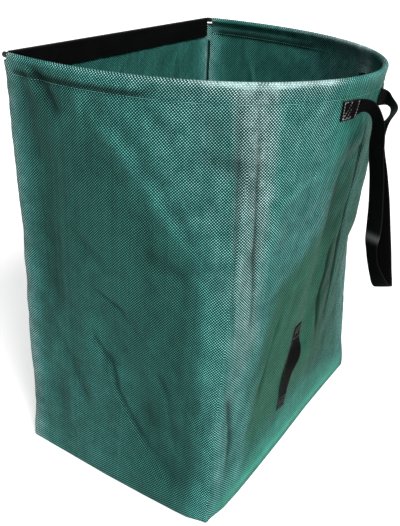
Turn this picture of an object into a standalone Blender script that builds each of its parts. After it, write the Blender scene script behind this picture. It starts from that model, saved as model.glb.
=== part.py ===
"""Open-topped woven leaf bag with one straight lip, like a dustpan's, and a stiff hoop round the rest.

Units are metres, Z is up and the base stands on z = 0 with its centre on the Z axis. The straight lip is
on the -X side, the carrying handle on the +X side, and the front wall faces -Y.

Everything sewn is laid out on one skin. A place on the skin is an arc length s round the bag, counted
from the front corner of the lip (front wall, handle side wall, back wall, lip side wall), a height z and
an inset, which is the depth under the outer face.
"""

import math

import bmesh
import bpy
import numpy as np

COLLECTION = "dustpan_leaf_bag"

# Fabric body
base_width = 0.380
base_depth = 0.570
bag_height = 0.700
fabric = 0.0012
clearance = 0.0003

# Mouth: one straight side and a bowed arch that leaves it at both ends
lip_x = -0.205
lip_length = 0.570
arch_reach = 0.476
arch_flare = 0.089
arch_squareness = 1.852
front_share_at_mouth = 0.430

# Seams
seam_allowance = 0.010
bottom_radius = 0.012
fold_radius = 0.0020
fold_shoulder = 0.3
bottom_allowance = 0.012
side_seam_start = 0.028
square_foot = 0.016

# Hem and the rod inside it
rod_radius = 0.0030
rod_slack = 0.0005
hem_depth = 0.032
hem_wrap = math.radians(35)
hem_end_setback = 0.010
seam_below_hem = 0.008
corner_notch = 0.012
cap_wall = 0.0010
cap_grip = 0.0075
cap_nose = 0.0030

# Straight lip
bar_thickness = 0.0025
bar_height = 0.026
lip_top_drop = 0.0045
lip_end_setback = 0.012
sleeve_depth = 0.036
webbing = 0.0014

# How far the middle of a strap's thickness stands off the wall it is sewn to
sewn_stand = clearance + webbing / 2 + 0.0001

# Carrying handle on the handle side wall
strap_width = 0.030
handle_centre_z = 0.653
handle_sewn_length = 0.038
handle_sewn_near = 0.046
crest_y = 0.034
crest_x = 0.284
crest_z = 0.648
crest_tilt = math.radians(48)
crest_lead = 0.002
loop_gap = 0.026
loop_lean = 0.040
loop_drop = 0.283

# Tipping handle low on the handle side wall
tipping_s = 0.616
tipping_top = 0.264
tipping_bottom = 0.094
tipping_sewn_length = 0.028
tipping_bow = 0.019

# How finely the fabric is divided
column_pitch = 0.040
row_pitch = 0.041
narrow_cell = 0.004
strap_steps = 34
rise_steps = 7

WALLS = {
    "front_wall": (0.0, base_width),
    "handle_side_wall": (base_width, base_width + base_depth),
    "back_wall": (base_width + base_depth, 2 * base_width + base_depth),
    "lip_side_wall": (2 * base_width + base_depth, 2 * base_width + 2 * base_depth),
}
corner_s = np.array([0.0, base_width, base_width + base_depth, 2 * base_width + base_depth,
                     2 * base_width + 2 * base_depth])

# How far each vertical corner leans in at mid height, in the order of corner_s
corner_sag = np.array([0.001, 0.004, 0.008, 0.006, 0.001])

# How far the middle of each wall leans in at mid height, in the order of WALLS
wall_sag = np.array([0.003, 0.012, 0.006, 0.004])

# The fabric lies true this close to the rim, held by the rod and the lip, and gives way below it
stiff_rim = 0.085
rim_give = 0.08
foot_give = 0.06

# Sag turns from one wall's inward direction to the next within this distance of a corner
corner_turn = 0.08

# Above one, the sag gathers towards mid height
sag_gather = 1.3

# Soft folds: start s and z, end s and z, half width and depth (inward is positive)
folds = (
    (0.665, 0.570, 0.690, 0.200, 0.034, 0.013),
    (0.470, 0.600, 0.455, 0.150, 0.040, -0.006),
    (0.165, 0.300, 0.285, 0.070, 0.030, 0.008),
    (0.090, 0.640, 0.060, 0.340, 0.030, 0.005),
    (0.243, 0.570, 0.315, 0.398, 0.040, 0.004),
    (0.835, 0.560, 0.850, 0.420, 0.055, -0.013),
    (1.090, 0.600, 1.160, 0.200, 0.045, 0.009),
    (1.600, 0.560, 1.640, 0.180, 0.050, 0.008),
)


def clear_scene():
    """Remove every object, then the data they used."""
    for old in list(bpy.data.objects):
        bpy.data.objects.remove(old, do_unlink=True)
    for group in (bpy.data.meshes, bpy.data.curves, bpy.data.materials):
        for block in list(group):
            group.remove(block)


def smooth_step(value):
    """Ease from 0 to 1 as value goes from 0 to 1."""
    held = np.clip(value, 0.0, 1.0)
    return held * held * (3.0 - 2.0 * held)


def unit(vectors):
    """Scale each vector along the last axis to length one."""
    return vectors / np.linalg.norm(vectors, axis=-1, keepdims=True)


def arch_curve():
    """Points of the arch from the front lip corner to the rear one, with their arc lengths."""
    turn = np.linspace(0.0, math.pi, 4001)
    rise = np.sin(turn)
    side = np.cos(turn)
    power = 2.0 / arch_squareness
    x = lip_x + arch_reach * rise ** power
    y = -(lip_length / 2 + arch_flare * rise) * np.sign(side) * np.abs(side) ** power
    lengths = np.concatenate([[0.0], np.cumsum(np.hypot(np.diff(x), np.diff(y)))])
    return x, y, lengths


ARCH = arch_curve()


def skin(s, z):
    """Outer face of the bag at arc lengths s and heights z, before any sag."""
    arch_x, arch_y, lengths = ARCH
    fabric_arch = 2 * base_width + base_depth
    mouth_s = np.interp(s, corner_s[:4], [0.0, front_share_at_mouth, fabric_arch - front_share_at_mouth,
                                          fabric_arch])
    along = mouth_s * lengths[-1] / fabric_arch
    on_lip = s > fabric_arch
    lip_y = lip_length / 2 - (s - fabric_arch) * lip_length / base_depth
    mouth_x = np.where(on_lip, lip_x, np.interp(along, lengths, arch_x))
    mouth_y = np.where(on_lip, lip_y, np.interp(along, lengths, arch_y))
    half_width = base_width / 2
    half_depth = base_depth / 2
    floor_x = np.interp(s, corner_s, [-half_width, half_width, half_width, -half_width, -half_width])
    floor_y = np.interp(s, corner_s, [-half_depth, -half_depth, half_depth, half_depth, -half_depth])
    share = np.clip((z - square_foot) / (bag_height - square_foot), 0.0, 1.0)
    x = floor_x + (mouth_x - floor_x) * share
    y = floor_y + (mouth_y - floor_y) * share
    return np.stack([x, y, z + 0.0 * x], axis=-1)


def sag_direction(s):
    """Level direction into the bag, turned smoothly across each corner."""
    inward = np.array([[1.0, 0.0], [0.0, 1.0], [-1.0, 0.0], [0.0, -1.0], [1.0, 0.0], [0.0, 1.0]])
    wall_index = np.clip(np.searchsorted(corner_s, s, side="right") - 1, 0, 3)
    own = inward[wall_index + 1]
    before = inward[wall_index]
    after = inward[wall_index + 2]
    from_start = s - corner_s[wall_index]
    from_end = corner_s[wall_index + 1] - s
    start_share = 0.5 * (1.0 - smooth_step(from_start / corner_turn))
    end_share = 0.5 * (1.0 - smooth_step(from_end / corner_turn))
    mixed = own * (1.0 - start_share - end_share)[..., None]
    mixed = mixed + before * start_share[..., None] + after * end_share[..., None]
    level = unit(mixed)
    return np.concatenate([level, np.zeros_like(level[..., :1])], axis=-1)


def sag_depth(s, z):
    """How far the fabric lies inside the skin, from its own slackness and its folds."""
    middle = np.interp(s, (corner_s[:-1] + corner_s[1:]) / 2, wall_sag)
    wall_index = np.clip(np.searchsorted(corner_s, s, side="right") - 1, 0, 3)
    span = corner_s[wall_index + 1] - corner_s[wall_index]
    across = (s - corner_s[wall_index]) / span
    bow = np.sin(math.pi * across) ** 2
    depth = np.interp(s, corner_s, corner_sag) * (1.0 - bow) + middle * bow
    depth = depth * np.sin(math.pi * np.clip(z / bag_height, 0.0, 1.0)) ** sag_gather
    for start_s, start_z, end_s, end_z, half_width, fold_depth in folds:
        run_s = end_s - start_s
        run_z = end_z - start_z
        share = ((s - start_s) * run_s + (z - start_z) * run_z) / (run_s ** 2 + run_z ** 2)
        held = np.clip(share, 0.0, 1.0)
        away_s = s - start_s - held * run_s
        away_z = z - start_z - held * run_z
        distance = (away_s ** 2 + away_z ** 2) / half_width ** 2
        depth = depth + fold_depth * np.exp(-distance)
    low = smooth_step((z - square_foot) / foot_give)
    high = smooth_step((bag_height - stiff_rim - z) / rim_give)
    return depth * low * high


def fabric_face(s, z):
    """Outer face of the fabric as it hangs."""
    s = np.asarray(s, dtype=float)
    z = np.asarray(z, dtype=float) + 0.0 * s
    return skin(s, z) + sag_direction(s) * sag_depth(s, z)[..., None]


def inward_normals(line):
    """Level normals, pointing into the bag, at each point of a level line."""
    tangent = unit(np.gradient(line[:, :2], axis=0))
    first = unit(line[1, :2] - line[0, :2])
    last = unit(line[-1, :2] - line[-2, :2])
    tangent[0] = first
    tangent[-1] = last
    normal = np.stack([-tangent[:, 1], tangent[:, 0], np.zeros(len(tangent))], axis=-1)
    return normal


def neighbour_normal(s, z):
    """Mean of the two level normals that meet at a corner."""
    step = 0.004
    total = corner_s[-1]
    at = fabric_face(s, z)
    ahead = unit(fabric_face((s + step) % total, z) - at)
    behind = unit(at - fabric_face((s - step) % total, z))
    mean = ahead + behind
    return unit(np.array([-mean[1], mean[0], 0.0]))


def wall_columns(name):
    """Arc lengths of a wall's upright grid lines."""
    start, end = WALLS[name]
    count = max(4, round((end - start) / column_pitch))
    columns = list(np.linspace(start, end, count + 1))
    if name == "front_wall":
        columns.insert(1, start + hem_end_setback)
    if name == "back_wall":
        columns.insert(-1, end - hem_end_setback)
    if name == "lip_side_wall":
        columns.insert(1, start + lip_end_setback)
        columns.insert(-1, end - lip_end_setback)
    return np.array(columns)


def arc(centre_inset, centre_z, radius, start_deg, end_deg, steps):
    """Points (inset, z) on an arc. Angle 0 looks out of the bag and 90 looks up."""
    angles = np.radians(np.linspace(start_deg, end_deg, steps + 1))
    insets = centre_inset - radius * np.cos(angles)
    heights = centre_z + radius * np.sin(angles)
    return list(zip(insets, heights))


def bottom_profile():
    """Profile (inset, z) of a wall's lower edge, from the top of its turned-up allowance to the wall."""
    stand = bottom_radius + fold_radius
    profile = [(stand, fabric / 2 + fold_radius + bottom_allowance)]
    profile += [(stand, fabric / 2 + fold_radius)]
    profile += [(stand - fold_shoulder * fold_radius, fabric / 2 + fold_shoulder * fold_radius)]
    profile += arc(bottom_radius, bottom_radius, bottom_radius - fabric / 2, -90, 0, 3)
    return profile


def upright_profile(top):
    """Profile (inset, z) of the plain wall up to a height."""
    start = side_seam_start
    seam_top = bag_height - hem_depth - seam_below_hem
    count = round((seam_top - start) / row_pitch)
    heights = list(np.linspace(start, seam_top, count + 1))
    heights += [bag_height - corner_notch]
    if top > heights[-1]:
        heights += [top]
    return [(fabric / 2, height) for height in heights]


def hem_profile():
    """Profile (inset, z) of the fabric turned over the rod and down inside the wall."""
    centre = fabric + rod_slack + rod_radius
    turn = rod_slack + rod_radius + fabric / 2
    leg = fabric / 2 + fabric + clearance
    drop = (turn + (centre - leg) * math.cos(hem_wrap)) / math.sin(hem_wrap)
    profile = arc(centre, bag_height - centre, turn, 0, 180 + math.degrees(hem_wrap), 8)
    profile += [(leg, bag_height - centre - drop)]
    profile += [(leg, bag_height - hem_depth)]
    return profile


def lay_row(s_line, inset, z, offset):
    """One level line of a wall at an inset, with both ends mitred to leave room for the next walls."""
    outer = fabric_face(s_line, np.full(len(s_line), z))
    normals = inward_normals(outer)
    points = outer + normals * inset
    for end, inner in ((0, 1), (-1, -2)):
        bisector = neighbour_normal(s_line[end], z)
        along = unit(outer[inner] - outer[end])
        cosine = float(np.dot(along[:2], bisector[:2]))
        sine = abs(float(along[0] * bisector[1] - along[1] * bisector[0]))
        setback = (offset + inset * cosine) / sine
        points[end] = outer[end] + along * setback + normals[end] * inset
        crowded = setback + narrow_cell - np.linalg.norm(outer[inner] - outer[end])
        points[inner] += along * max(crowded, 0.0)
    return points


def on_wall(s, z, stand):
    """Places that stand off the handle side wall's flat cells, with the level and upward directions there."""
    columns = wall_columns("handle_side_wall")
    heights = np.array([height for inset, height in upright_profile(bag_height - corner_notch)])
    nodes = fabric_face(*np.meshgrid(columns, heights, indexing="ij"))
    column = np.clip(np.searchsorted(columns, s, side="right") - 1, 0, len(columns) - 2)
    row = np.clip(np.searchsorted(heights, z, side="right") - 1, 0, len(heights) - 2)
    along = ((s - columns[column]) / (columns[column + 1] - columns[column]))[..., None]
    rise = ((z - heights[row]) / (heights[row + 1] - heights[row]))[..., None]
    low = nodes[column, row] * (1.0 - along) + nodes[column + 1, row] * along
    high = nodes[column, row + 1] * (1.0 - along) + nodes[column + 1, row + 1] * along
    left = nodes[column, row] * (1.0 - rise) + nodes[column, row + 1] * rise
    right = nodes[column + 1, row] * (1.0 - rise) + nodes[column + 1, row + 1] * rise
    upward = unit(high - low)
    level = unit(right - left)
    outward = unit(np.cross(level, upward))
    return low + (high - low) * rise + outward * stand, level, upward


def wall_surface(name):
    """Grid of a wall's mid-surface points with a mask of the cells that exist."""
    columns = wall_columns(name)
    has_hem = name != "lip_side_wall"
    low = bottom_profile()
    if has_hem:
        plain = upright_profile(bag_height - corner_notch)
        high = hem_profile()
    else:
        plain = upright_profile(bag_height - lip_top_drop)
        high = []
    profile = low + plain + high
    offset = (clearance + fabric) / 2
    rows = [lay_row(columns, inset, z, offset) for inset, z in profile]
    grid = np.stack(rows, axis=1)
    grid[:, :, 2] = [z for inset, z in profile]
    flange = []
    for end in (0, -1):
        edge = grid[end].copy()
        for row_index, (inset, z) in enumerate(profile):
            edge[row_index] += neighbour_normal(columns[end], z) * seam_allowance
        flange.append(edge)
    grid = np.concatenate([flange[0][None], grid, flange[1][None]], axis=0)
    keep = np.ones((grid.shape[0] - 1, grid.shape[1] - 1), dtype=bool)
    first_seam_row = len(low)
    last_seam_row = len(low) + len(upright_profile(0)) - 2
    for column in (0, -1):
        keep[column, :first_seam_row] = False
        keep[column, last_seam_row:] = False
    notch_row = last_seam_row + 1
    if name in ("front_wall", "lip_side_wall"):
        keep[1, notch_row:] = False
    if name in ("back_wall", "lip_side_wall"):
        keep[-2, notch_row:] = False
    return grid, keep


def base_surface():
    """Grid of the base panel's mid-surface, its edge turned up inside the walls' allowances."""
    stand = bottom_radius + fold_radius + fabric + clearance
    top = fabric / 2 + fold_radius + bottom_allowance
    edge = [(stand, top), (stand, fabric / 2 + fold_radius)]
    edge += [(stand + fold_shoulder * fold_radius, fabric / 2 + fold_shoulder * fold_radius)]
    edge += [(stand + fold_radius, fabric / 2)]

    def line(half_length, count):
        flat_end = half_length - edge[-1][0]
        low = [(-half_length + inset, z) for inset, z in edge[:-1]]
        flat = [(value, fabric / 2) for value in np.linspace(-flat_end, flat_end, count + 1)]
        high = [(half_length - inset, z) for inset, z in reversed(edge[:-1])]
        return low + flat + high

    x_line = line(base_width / 2, 7)
    y_line = line(base_depth / 2, 10)
    grid = np.array([[(x, y, max(x_z, y_z)) for y, y_z in y_line] for x, x_z in x_line])
    keep = np.ones((len(x_line) - 1, len(y_line) - 1), dtype=bool)
    turned = len(edge) - 1
    ends = (slice(0, turned), slice(-turned, None))
    for x_end in ends:
        for y_end in ends:
            keep[x_end, y_end] = False
    return grid, keep


def new_object(name, mesh, collection):
    """Wrap a mesh in an object and link it."""
    made = bpy.data.objects.new(name, mesh)
    collection.objects.link(made)
    return made


def mesh_from_grid(name, grid, keep=None):
    """Mesh of quads between neighbouring points of a grid, without those that keep leaves out."""
    across, along = grid.shape[:2]
    if keep is None:
        keep = np.ones((across - 1, along - 1), dtype=bool)
    index = np.arange(across * along).reshape(across, along)
    faces = np.stack([index[:-1, :-1], index[1:, :-1], index[1:, 1:], index[:-1, 1:]], axis=-1)[keep]
    used = np.unique(faces)
    renumber = np.full(across * along, -1)
    renumber[used] = np.arange(len(used))
    mesh = bpy.data.meshes.new(name)
    mesh.from_pydata(grid.reshape(-1, 3)[used].tolist(), [], renumber[faces].tolist())
    mesh.update()
    return mesh


def thicken(piece, thickness):
    """Give an open surface an even thickness about itself."""
    solid = piece.modifiers.new("Solidify", "SOLIDIFY")
    solid.thickness = thickness
    solid.offset = 0.0
    solid.use_even_offset = True
    solid.use_quality_normals = True


def make_fabric(name, grid, keep, thickness, collection):
    """A sewn sheet: an open grid surface made solid."""
    piece = new_object(name, mesh_from_grid(name, grid, keep), collection)
    thicken(piece, thickness)
    return piece


def place_on_lip(piece):
    """Set a piece's own X to point into the bag, Y up the lip side wall and Z along the lip."""
    lean = math.atan2(-lip_x - base_width / 2, bag_height - square_foot)
    piece.rotation_euler = (math.pi / 2, -lean, 0.0)
    piece.location = (lip_x, 0.0, bag_height)


def make_lip_bar(collection):
    """The stiff flat bar that lies against the inside of the lip side wall."""
    length = lip_length - 2 * lip_end_setback
    edit = bmesh.new()
    bmesh.ops.create_cube(edit, size=1.0)
    bmesh.ops.scale(edit, verts=edit.verts[:], vec=(bar_thickness, bar_height, length))
    middle = (fabric + clearance + bar_thickness / 2, -lip_top_drop - bar_height / 2, 0.0)
    bmesh.ops.translate(edit, verts=edit.verts[:], vec=middle)
    mesh = bpy.data.meshes.new("lip_bar")
    edit.to_mesh(mesh)
    edit.free()
    bar = new_object("lip_bar", mesh, collection)
    place_on_lip(bar)
    return bar


def make_lip_sleeve(collection):
    """The webbing folded over the bar and the wall's top edge: a bent line drawn out along the lip."""
    outer = -clearance - webbing / 2
    inner = fabric + bar_thickness + 2 * clearance + webbing / 2
    radius = (inner - outer) / 2
    profile = [(outer, -sleeve_depth)]
    profile += arc((outer + inner) / 2, -radius - webbing / 2, radius, 0, 180, 8)
    profile += [(inner, -sleeve_depth)]
    curve = bpy.data.curves.new("lip_sleeve", "CURVE")
    curve.dimensions = "2D"
    curve.fill_mode = "NONE"
    curve.extrude = lip_length / 2 - lip_end_setback
    spline = curve.splines.new("POLY")
    spline.points.add(len(profile) - 1)
    for point, (x, y) in zip(spline.points, profile):
        point.co = (x, y, 0.0, 1.0)
    sleeve = mesh_of_curve("lip_sleeve", curve, collection)
    thicken(sleeve, webbing)
    place_on_lip(sleeve)
    return sleeve


def mesh_of_curve(name, curve, collection):
    """Turn curve data into a mesh object with no loose caps."""
    holder = new_object(name + "_curve", curve, collection)
    mesh = bpy.data.meshes.new_from_object(holder)
    bpy.data.objects.remove(holder, do_unlink=True)
    join_close_points(mesh)
    return new_object(name, mesh, collection)


def join_close_points(mesh):
    """Join points that lie in one place, such as a cap's rim and the tube's."""
    edit = bmesh.new()
    edit.from_mesh(mesh)
    bmesh.ops.remove_doubles(edit, verts=edit.verts[:], dist=0.00001)
    edit.to_mesh(mesh)
    edit.free()


def rod_path():
    """Centre line of the rod, through the same upright grid lines as the hem round it."""
    inset = fabric + rod_slack + rod_radius
    height = bag_height - inset
    pieces = []
    for name in ("front_wall", "handle_side_wall", "back_wall"):
        row = lay_row(wall_columns(name), inset, height, 0.0)
        row[:, 2] = height
        pieces.append(row if name == "front_wall" else row[1:])
    line = np.concatenate(pieces)
    return line[1:-1], line[0], line[-1]


def make_rod(collection):
    """The rod in the hem and the cap on each of its ends."""
    line, front_corner, rear_corner = rod_path()
    reach = hem_end_setback - clearance
    front_end = line[0] + unit(front_corner - line[0]) * reach
    rear_end = line[-1] + unit(rear_corner - line[-1]) * reach
    path = np.concatenate([[front_end], line, [rear_end]])
    curve = bpy.data.curves.new("hoop_rod", "CURVE")
    curve.dimensions = "3D"
    curve.bevel_depth = rod_radius
    curve.bevel_resolution = 2
    curve.use_fill_caps = True
    spline = curve.splines.new("POLY")
    spline.points.add(len(path) - 1)
    for point, place in zip(spline.points, path):
        point.co = (*place, 1.0)
    rod = mesh_of_curve("hoop_rod", curve, collection)
    caps = [make_cap("rod_cap_front", line[0], front_end, collection),
            make_cap("rod_cap_rear", line[-1], rear_end, collection)]
    return rod, caps


def make_cap(name, inner_place, rod_end, collection):
    """A round cap over an end of the rod, its outline turned about the rod's own line."""
    bore = rod_radius + clearance
    outer = bore + cap_wall
    profile = ((0.0, cap_nose), (outer - cap_wall, cap_nose), (outer, cap_nose - cap_wall),
               (outer, -cap_grip), (bore, -cap_grip), (bore, clearance), (0.0, clearance))
    mesh = bpy.data.meshes.new(name)
    places = [(radius, 0.0, along) for radius, along in profile]
    mesh.from_pydata(places, [(at, at + 1) for at in range(len(places) - 1)], [])
    piece = new_object(name, mesh, collection)
    screw = piece.modifiers.new("Screw", "SCREW")
    screw.axis = "Z"
    screw.steps = 16
    screw.render_steps = 16
    screw.use_merge_vertices = True
    screw.merge_threshold = 0.00005
    outward = unit(rod_end - inner_place)
    turn = math.atan2(outward[1], outward[0])
    piece.rotation_euler = (0.0, math.pi / 2, turn)
    piece.location = rod_end
    return piece


def spline_through(places, count):
    """Smooth line through given places, evenly spaced along its length."""
    places = np.asarray(places, dtype=float)
    padded = np.concatenate([[2 * places[0] - places[1]], places, [2 * places[-1] - places[-2]]])
    dense = []
    for index in range(len(places) - 1):
        before, start, end, after = padded[index:index + 4]
        share = np.linspace(0.0, 1.0, 40, endpoint=index == len(places) - 2)[:, None]
        dense.append(0.5 * (2 * start + (end - before) * share
                            + (2 * before - 5 * start + 4 * end - after) * share ** 2
                            + (3 * start - before - 3 * end + after) * share ** 3))
    line = np.concatenate(dense)
    lengths = np.concatenate([[0.0], np.cumsum(np.linalg.norm(np.diff(line, axis=0), axis=1))])
    wanted = np.linspace(0.0, lengths[-1], count + 1)
    return np.stack([np.interp(wanted, lengths, line[:, axis]) for axis in range(3)], axis=-1)


def strap_grid(line, across):
    """Surface of a strap: its centre line and, at each point, the direction of its width."""
    half = strap_width / 2
    return np.stack([line - across * half, line + across * half], axis=0)


def crest(side):
    """Where the carrying handle leaves its sewn end, on the hinge's own line."""
    return np.array([crest_x, side * crest_y, crest_z])


def handle_end_s(side):
    """Arc lengths of the sewn end of the carrying handle, from its cut end to where it lifts off."""
    middle = base_width + base_depth / 2
    table = middle + side * np.linspace(0.0, base_depth / 3, 200)
    line = fabric_face(table, handle_centre_z)
    lengths = np.concatenate([[0.0], np.cumsum(np.linalg.norm(np.diff(line, axis=0), axis=1))])
    near = np.interp(handle_sewn_near, lengths, table)
    far = np.interp(handle_sewn_near + handle_sewn_length, lengths, table)
    between = [node for node in wall_columns("handle_side_wall") if min(near, far) < node < max(near, far)]
    return np.array(sorted([near, far] + between, reverse=side > 0))


def make_handle_end(name, side, collection):
    """Sewn end of the carrying handle and its short rise to the hinge line, turning as it rises."""
    line_s = handle_end_s(side)
    sewn, _, upward = on_wall(line_s, np.full(len(line_s), handle_centre_z), sewn_stand)
    last = sewn[-1]
    top = crest(side)
    top[1] += side * clearance / 2
    lead = top + np.array([0.0, side * crest_lead, 0.0])
    share = np.linspace(0.0, 1.0, rise_steps + 1)[1:, None]
    eased = smooth_step(share)
    rise = last + (lead - last) * np.concatenate([eased, share, eased], axis=1)
    line = np.concatenate([sewn, rise, top[None]])
    turned = np.array([[math.sin(crest_tilt), 0.0, math.cos(crest_tilt)]])
    across = np.concatenate([upward, unit(upward[-1] * (1.0 - eased) + turned * eased), turned])
    return make_fabric(name, strap_grid(line, across), None, webbing, collection)


def loop_line():
    """Centre line and width directions of the hanging loop, from one hinge end to the other."""
    half_gap = loop_gap / 2
    inner_y = crest_y - clearance / 2
    down = ((inner_y - crest_lead, 0.0, 0.0), (inner_y - 0.006, -0.001, 0.0), (half_gap + 0.003, -0.016, 0.001),
            (half_gap, -0.045, 0.25 * loop_lean), (half_gap, -0.45 * loop_drop, 0.62 * loop_lean),
            (half_gap + 0.001, -0.78 * loop_drop, 0.90 * loop_lean),
            (half_gap - 0.003, -0.955 * loop_drop, 0.99 * loop_lean))
    bottom = (0.0, -loop_drop, loop_lean)
    front = [(crest_x + lean, -y, crest_z + drop) for y, drop, lean in down]
    rear = [(x, -y, z) for x, y, z in reversed(front)]
    places = front + [(crest_x + bottom[2], bottom[0], crest_z + bottom[1])] + rear
    ends = np.array([[crest_x, side * inner_y, crest_z] for side in (-1, 1)])
    return np.concatenate([ends[:1], spline_through(places, 2 * strap_steps), ends[1:]])


def make_handle_loop(collection):
    """The swinging loop of the carrying handle, with its origin on the hinge line."""
    line = loop_line()
    depth = crest_z - line[:, 2]
    tilt = crest_tilt + (math.pi / 2 - crest_tilt) * smooth_step(depth / 0.07)
    across = np.stack([np.sin(tilt), np.zeros(len(tilt)), np.cos(tilt)], axis=-1)
    origin = np.array([crest_x, 0.0, crest_z])
    grid = strap_grid(line, across) - origin
    piece = make_fabric("top_handle_loop", grid, None, webbing, collection)
    piece.location = origin
    return piece


def make_tipping_handle(collection):
    """The low handle: both ends sewn flat on the wall, the middle bowed out to let fingers in."""
    free_top = tipping_top - tipping_sewn_length
    free_bottom = tipping_bottom + tipping_sewn_length
    heights = np.concatenate([np.linspace(tipping_top, free_top, 3), np.linspace(free_top, free_bottom, 15)[1:-1],
                              np.linspace(free_bottom, tipping_bottom, 3)])
    share = np.clip((free_top - heights) / (free_top - free_bottom), 0.0, 1.0)
    bow = tipping_bow * np.sin(math.pi * share) ** 1.5
    line, level, _ = on_wall(np.full(len(heights), tipping_s), heights, sewn_stand + bow[:, None])
    return make_fabric("lower_handle", strap_grid(line, -level), None, webbing, collection)


def make_material(name, colour, roughness):
    """A plain Principled material."""
    material = bpy.data.materials.new(name)
    material.use_nodes = True
    shader = material.node_tree.nodes["Principled BSDF"]
    shader.inputs["Base Color"].default_value = (*colour, 1.0)
    shader.inputs["Roughness"].default_value = roughness
    material.diffuse_color = (*colour, 1.0)
    return material


def finish_piece(piece, colour, roughness):
    """Apply the piece's modifiers and give it its own material."""
    depsgraph = bpy.context.evaluated_depsgraph_get()
    mesh = bpy.data.meshes.new_from_object(piece.evaluated_get(depsgraph))
    old = piece.data
    piece.modifiers.clear()
    piece.data = mesh
    bpy.data.meshes.remove(old)
    mesh.name = piece.name
    mesh.materials.clear()
    mesh.materials.append(make_material(piece.name, colour, roughness))


FABRIC_COLOUR = (0.035, 0.150, 0.120)
WEBBING_COLOUR = (0.010, 0.010, 0.011)
PLASTIC_COLOUR = (0.012, 0.012, 0.013)


def build():
    """Make every piece of the bag in one collection."""
    clear_scene()
    collection = bpy.data.collections.new(COLLECTION)
    bpy.context.scene.collection.children.link(collection)
    sheets = [make_fabric(name, *wall_surface(name), fabric, collection) for name in WALLS]
    sheets.append(make_fabric("base_panel", *base_surface(), fabric, collection))
    bar = make_lip_bar(collection)
    rod, caps = make_rod(collection)
    straps = [make_lip_sleeve(collection), make_handle_end("top_handle_end_front", -1, collection),
              make_handle_end("top_handle_end_rear", 1, collection),
              make_handle_loop(collection), make_tipping_handle(collection)]
    bpy.context.view_layer.update()
    for piece in sheets:
        finish_piece(piece, FABRIC_COLOUR, 0.55)
    for piece in straps:
        finish_piece(piece, WEBBING_COLOUR, 0.75)
    for piece in [bar, rod] + caps:
        finish_piece(piece, PLASTIC_COLOUR, 0.45)
    for piece in [rod] + caps:
        piece.data.shade_smooth()


build()
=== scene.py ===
"""Look of the dustpan leaf bag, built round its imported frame.

Units are metres, Z is up, the straight lip is on the -X side, the carrying handle on the +X side and the
front wall faces -Y. The fabric is laid out on one skin: a place on it is an arc length s round the bag,
counted from the front corner of the lip (front wall, handle side wall, back wall, lip side wall), and a
height z. Everything sewn on is placed by s and z too.
"""

import math

import bpy
import numpy as np
from mathutils import Matrix, Vector


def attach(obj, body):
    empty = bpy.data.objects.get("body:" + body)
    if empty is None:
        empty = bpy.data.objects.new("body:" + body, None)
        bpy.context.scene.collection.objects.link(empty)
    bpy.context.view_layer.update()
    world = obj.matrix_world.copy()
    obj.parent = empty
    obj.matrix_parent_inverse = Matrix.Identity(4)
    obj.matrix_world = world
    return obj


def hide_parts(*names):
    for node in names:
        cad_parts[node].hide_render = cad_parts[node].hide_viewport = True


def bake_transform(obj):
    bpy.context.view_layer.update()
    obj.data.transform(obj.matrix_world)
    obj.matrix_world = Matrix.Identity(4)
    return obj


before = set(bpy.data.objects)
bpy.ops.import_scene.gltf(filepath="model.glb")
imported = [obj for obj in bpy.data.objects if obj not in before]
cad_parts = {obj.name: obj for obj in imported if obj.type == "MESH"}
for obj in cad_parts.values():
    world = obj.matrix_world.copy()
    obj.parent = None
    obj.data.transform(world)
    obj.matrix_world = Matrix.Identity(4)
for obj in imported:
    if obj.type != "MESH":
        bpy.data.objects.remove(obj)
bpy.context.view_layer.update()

# Bag and mouth, as the frame has them
base_width = 0.380
base_depth = 0.570
bag_height = 0.700
lip_x = -0.205
lip_length = 0.570
arch_reach = 0.476
arch_flare = 0.089
arch_squareness = 1.852
front_share_at_mouth = 0.430
square_foot = 0.016
around = 2 * base_width + 2 * base_depth
corner_s = np.array([0.0, base_width, base_width + base_depth, 2 * base_width + base_depth, around])

# Slackness of the fabric, as the frame has it
corner_sag = np.array([0.001, 0.004, 0.008, 0.006, 0.001])
wall_sag = np.array([0.003, 0.012, 0.006, 0.004])
stiff_rim = 0.085
rim_give = 0.08
foot_give = 0.06
corner_turn = 0.08
sag_gather = 1.3

# Broad folds, as the frame has them: start s and z, end s and z, half width and depth (inward is positive)
folds = (
    (0.665, 0.57, 0.69, 0.2, 0.034, 0.013),
    (0.47, 0.6, 0.455, 0.15, 0.04, -0.006),
    (0.165, 0.3, 0.285, 0.07, 0.03, 0.008),
    (0.09, 0.64, 0.06, 0.34, 0.03, 0.005),
    (0.243, 0.57, 0.315, 0.398, 0.04, 0.004),
    (0.835, 0.56, 0.85, 0.42, 0.055, -0.013),
    (1.09, 0.6, 1.16, 0.2, 0.045, 0.009),
    (1.6, 0.56, 1.64, 0.18, 0.05, 0.008),
)

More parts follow.
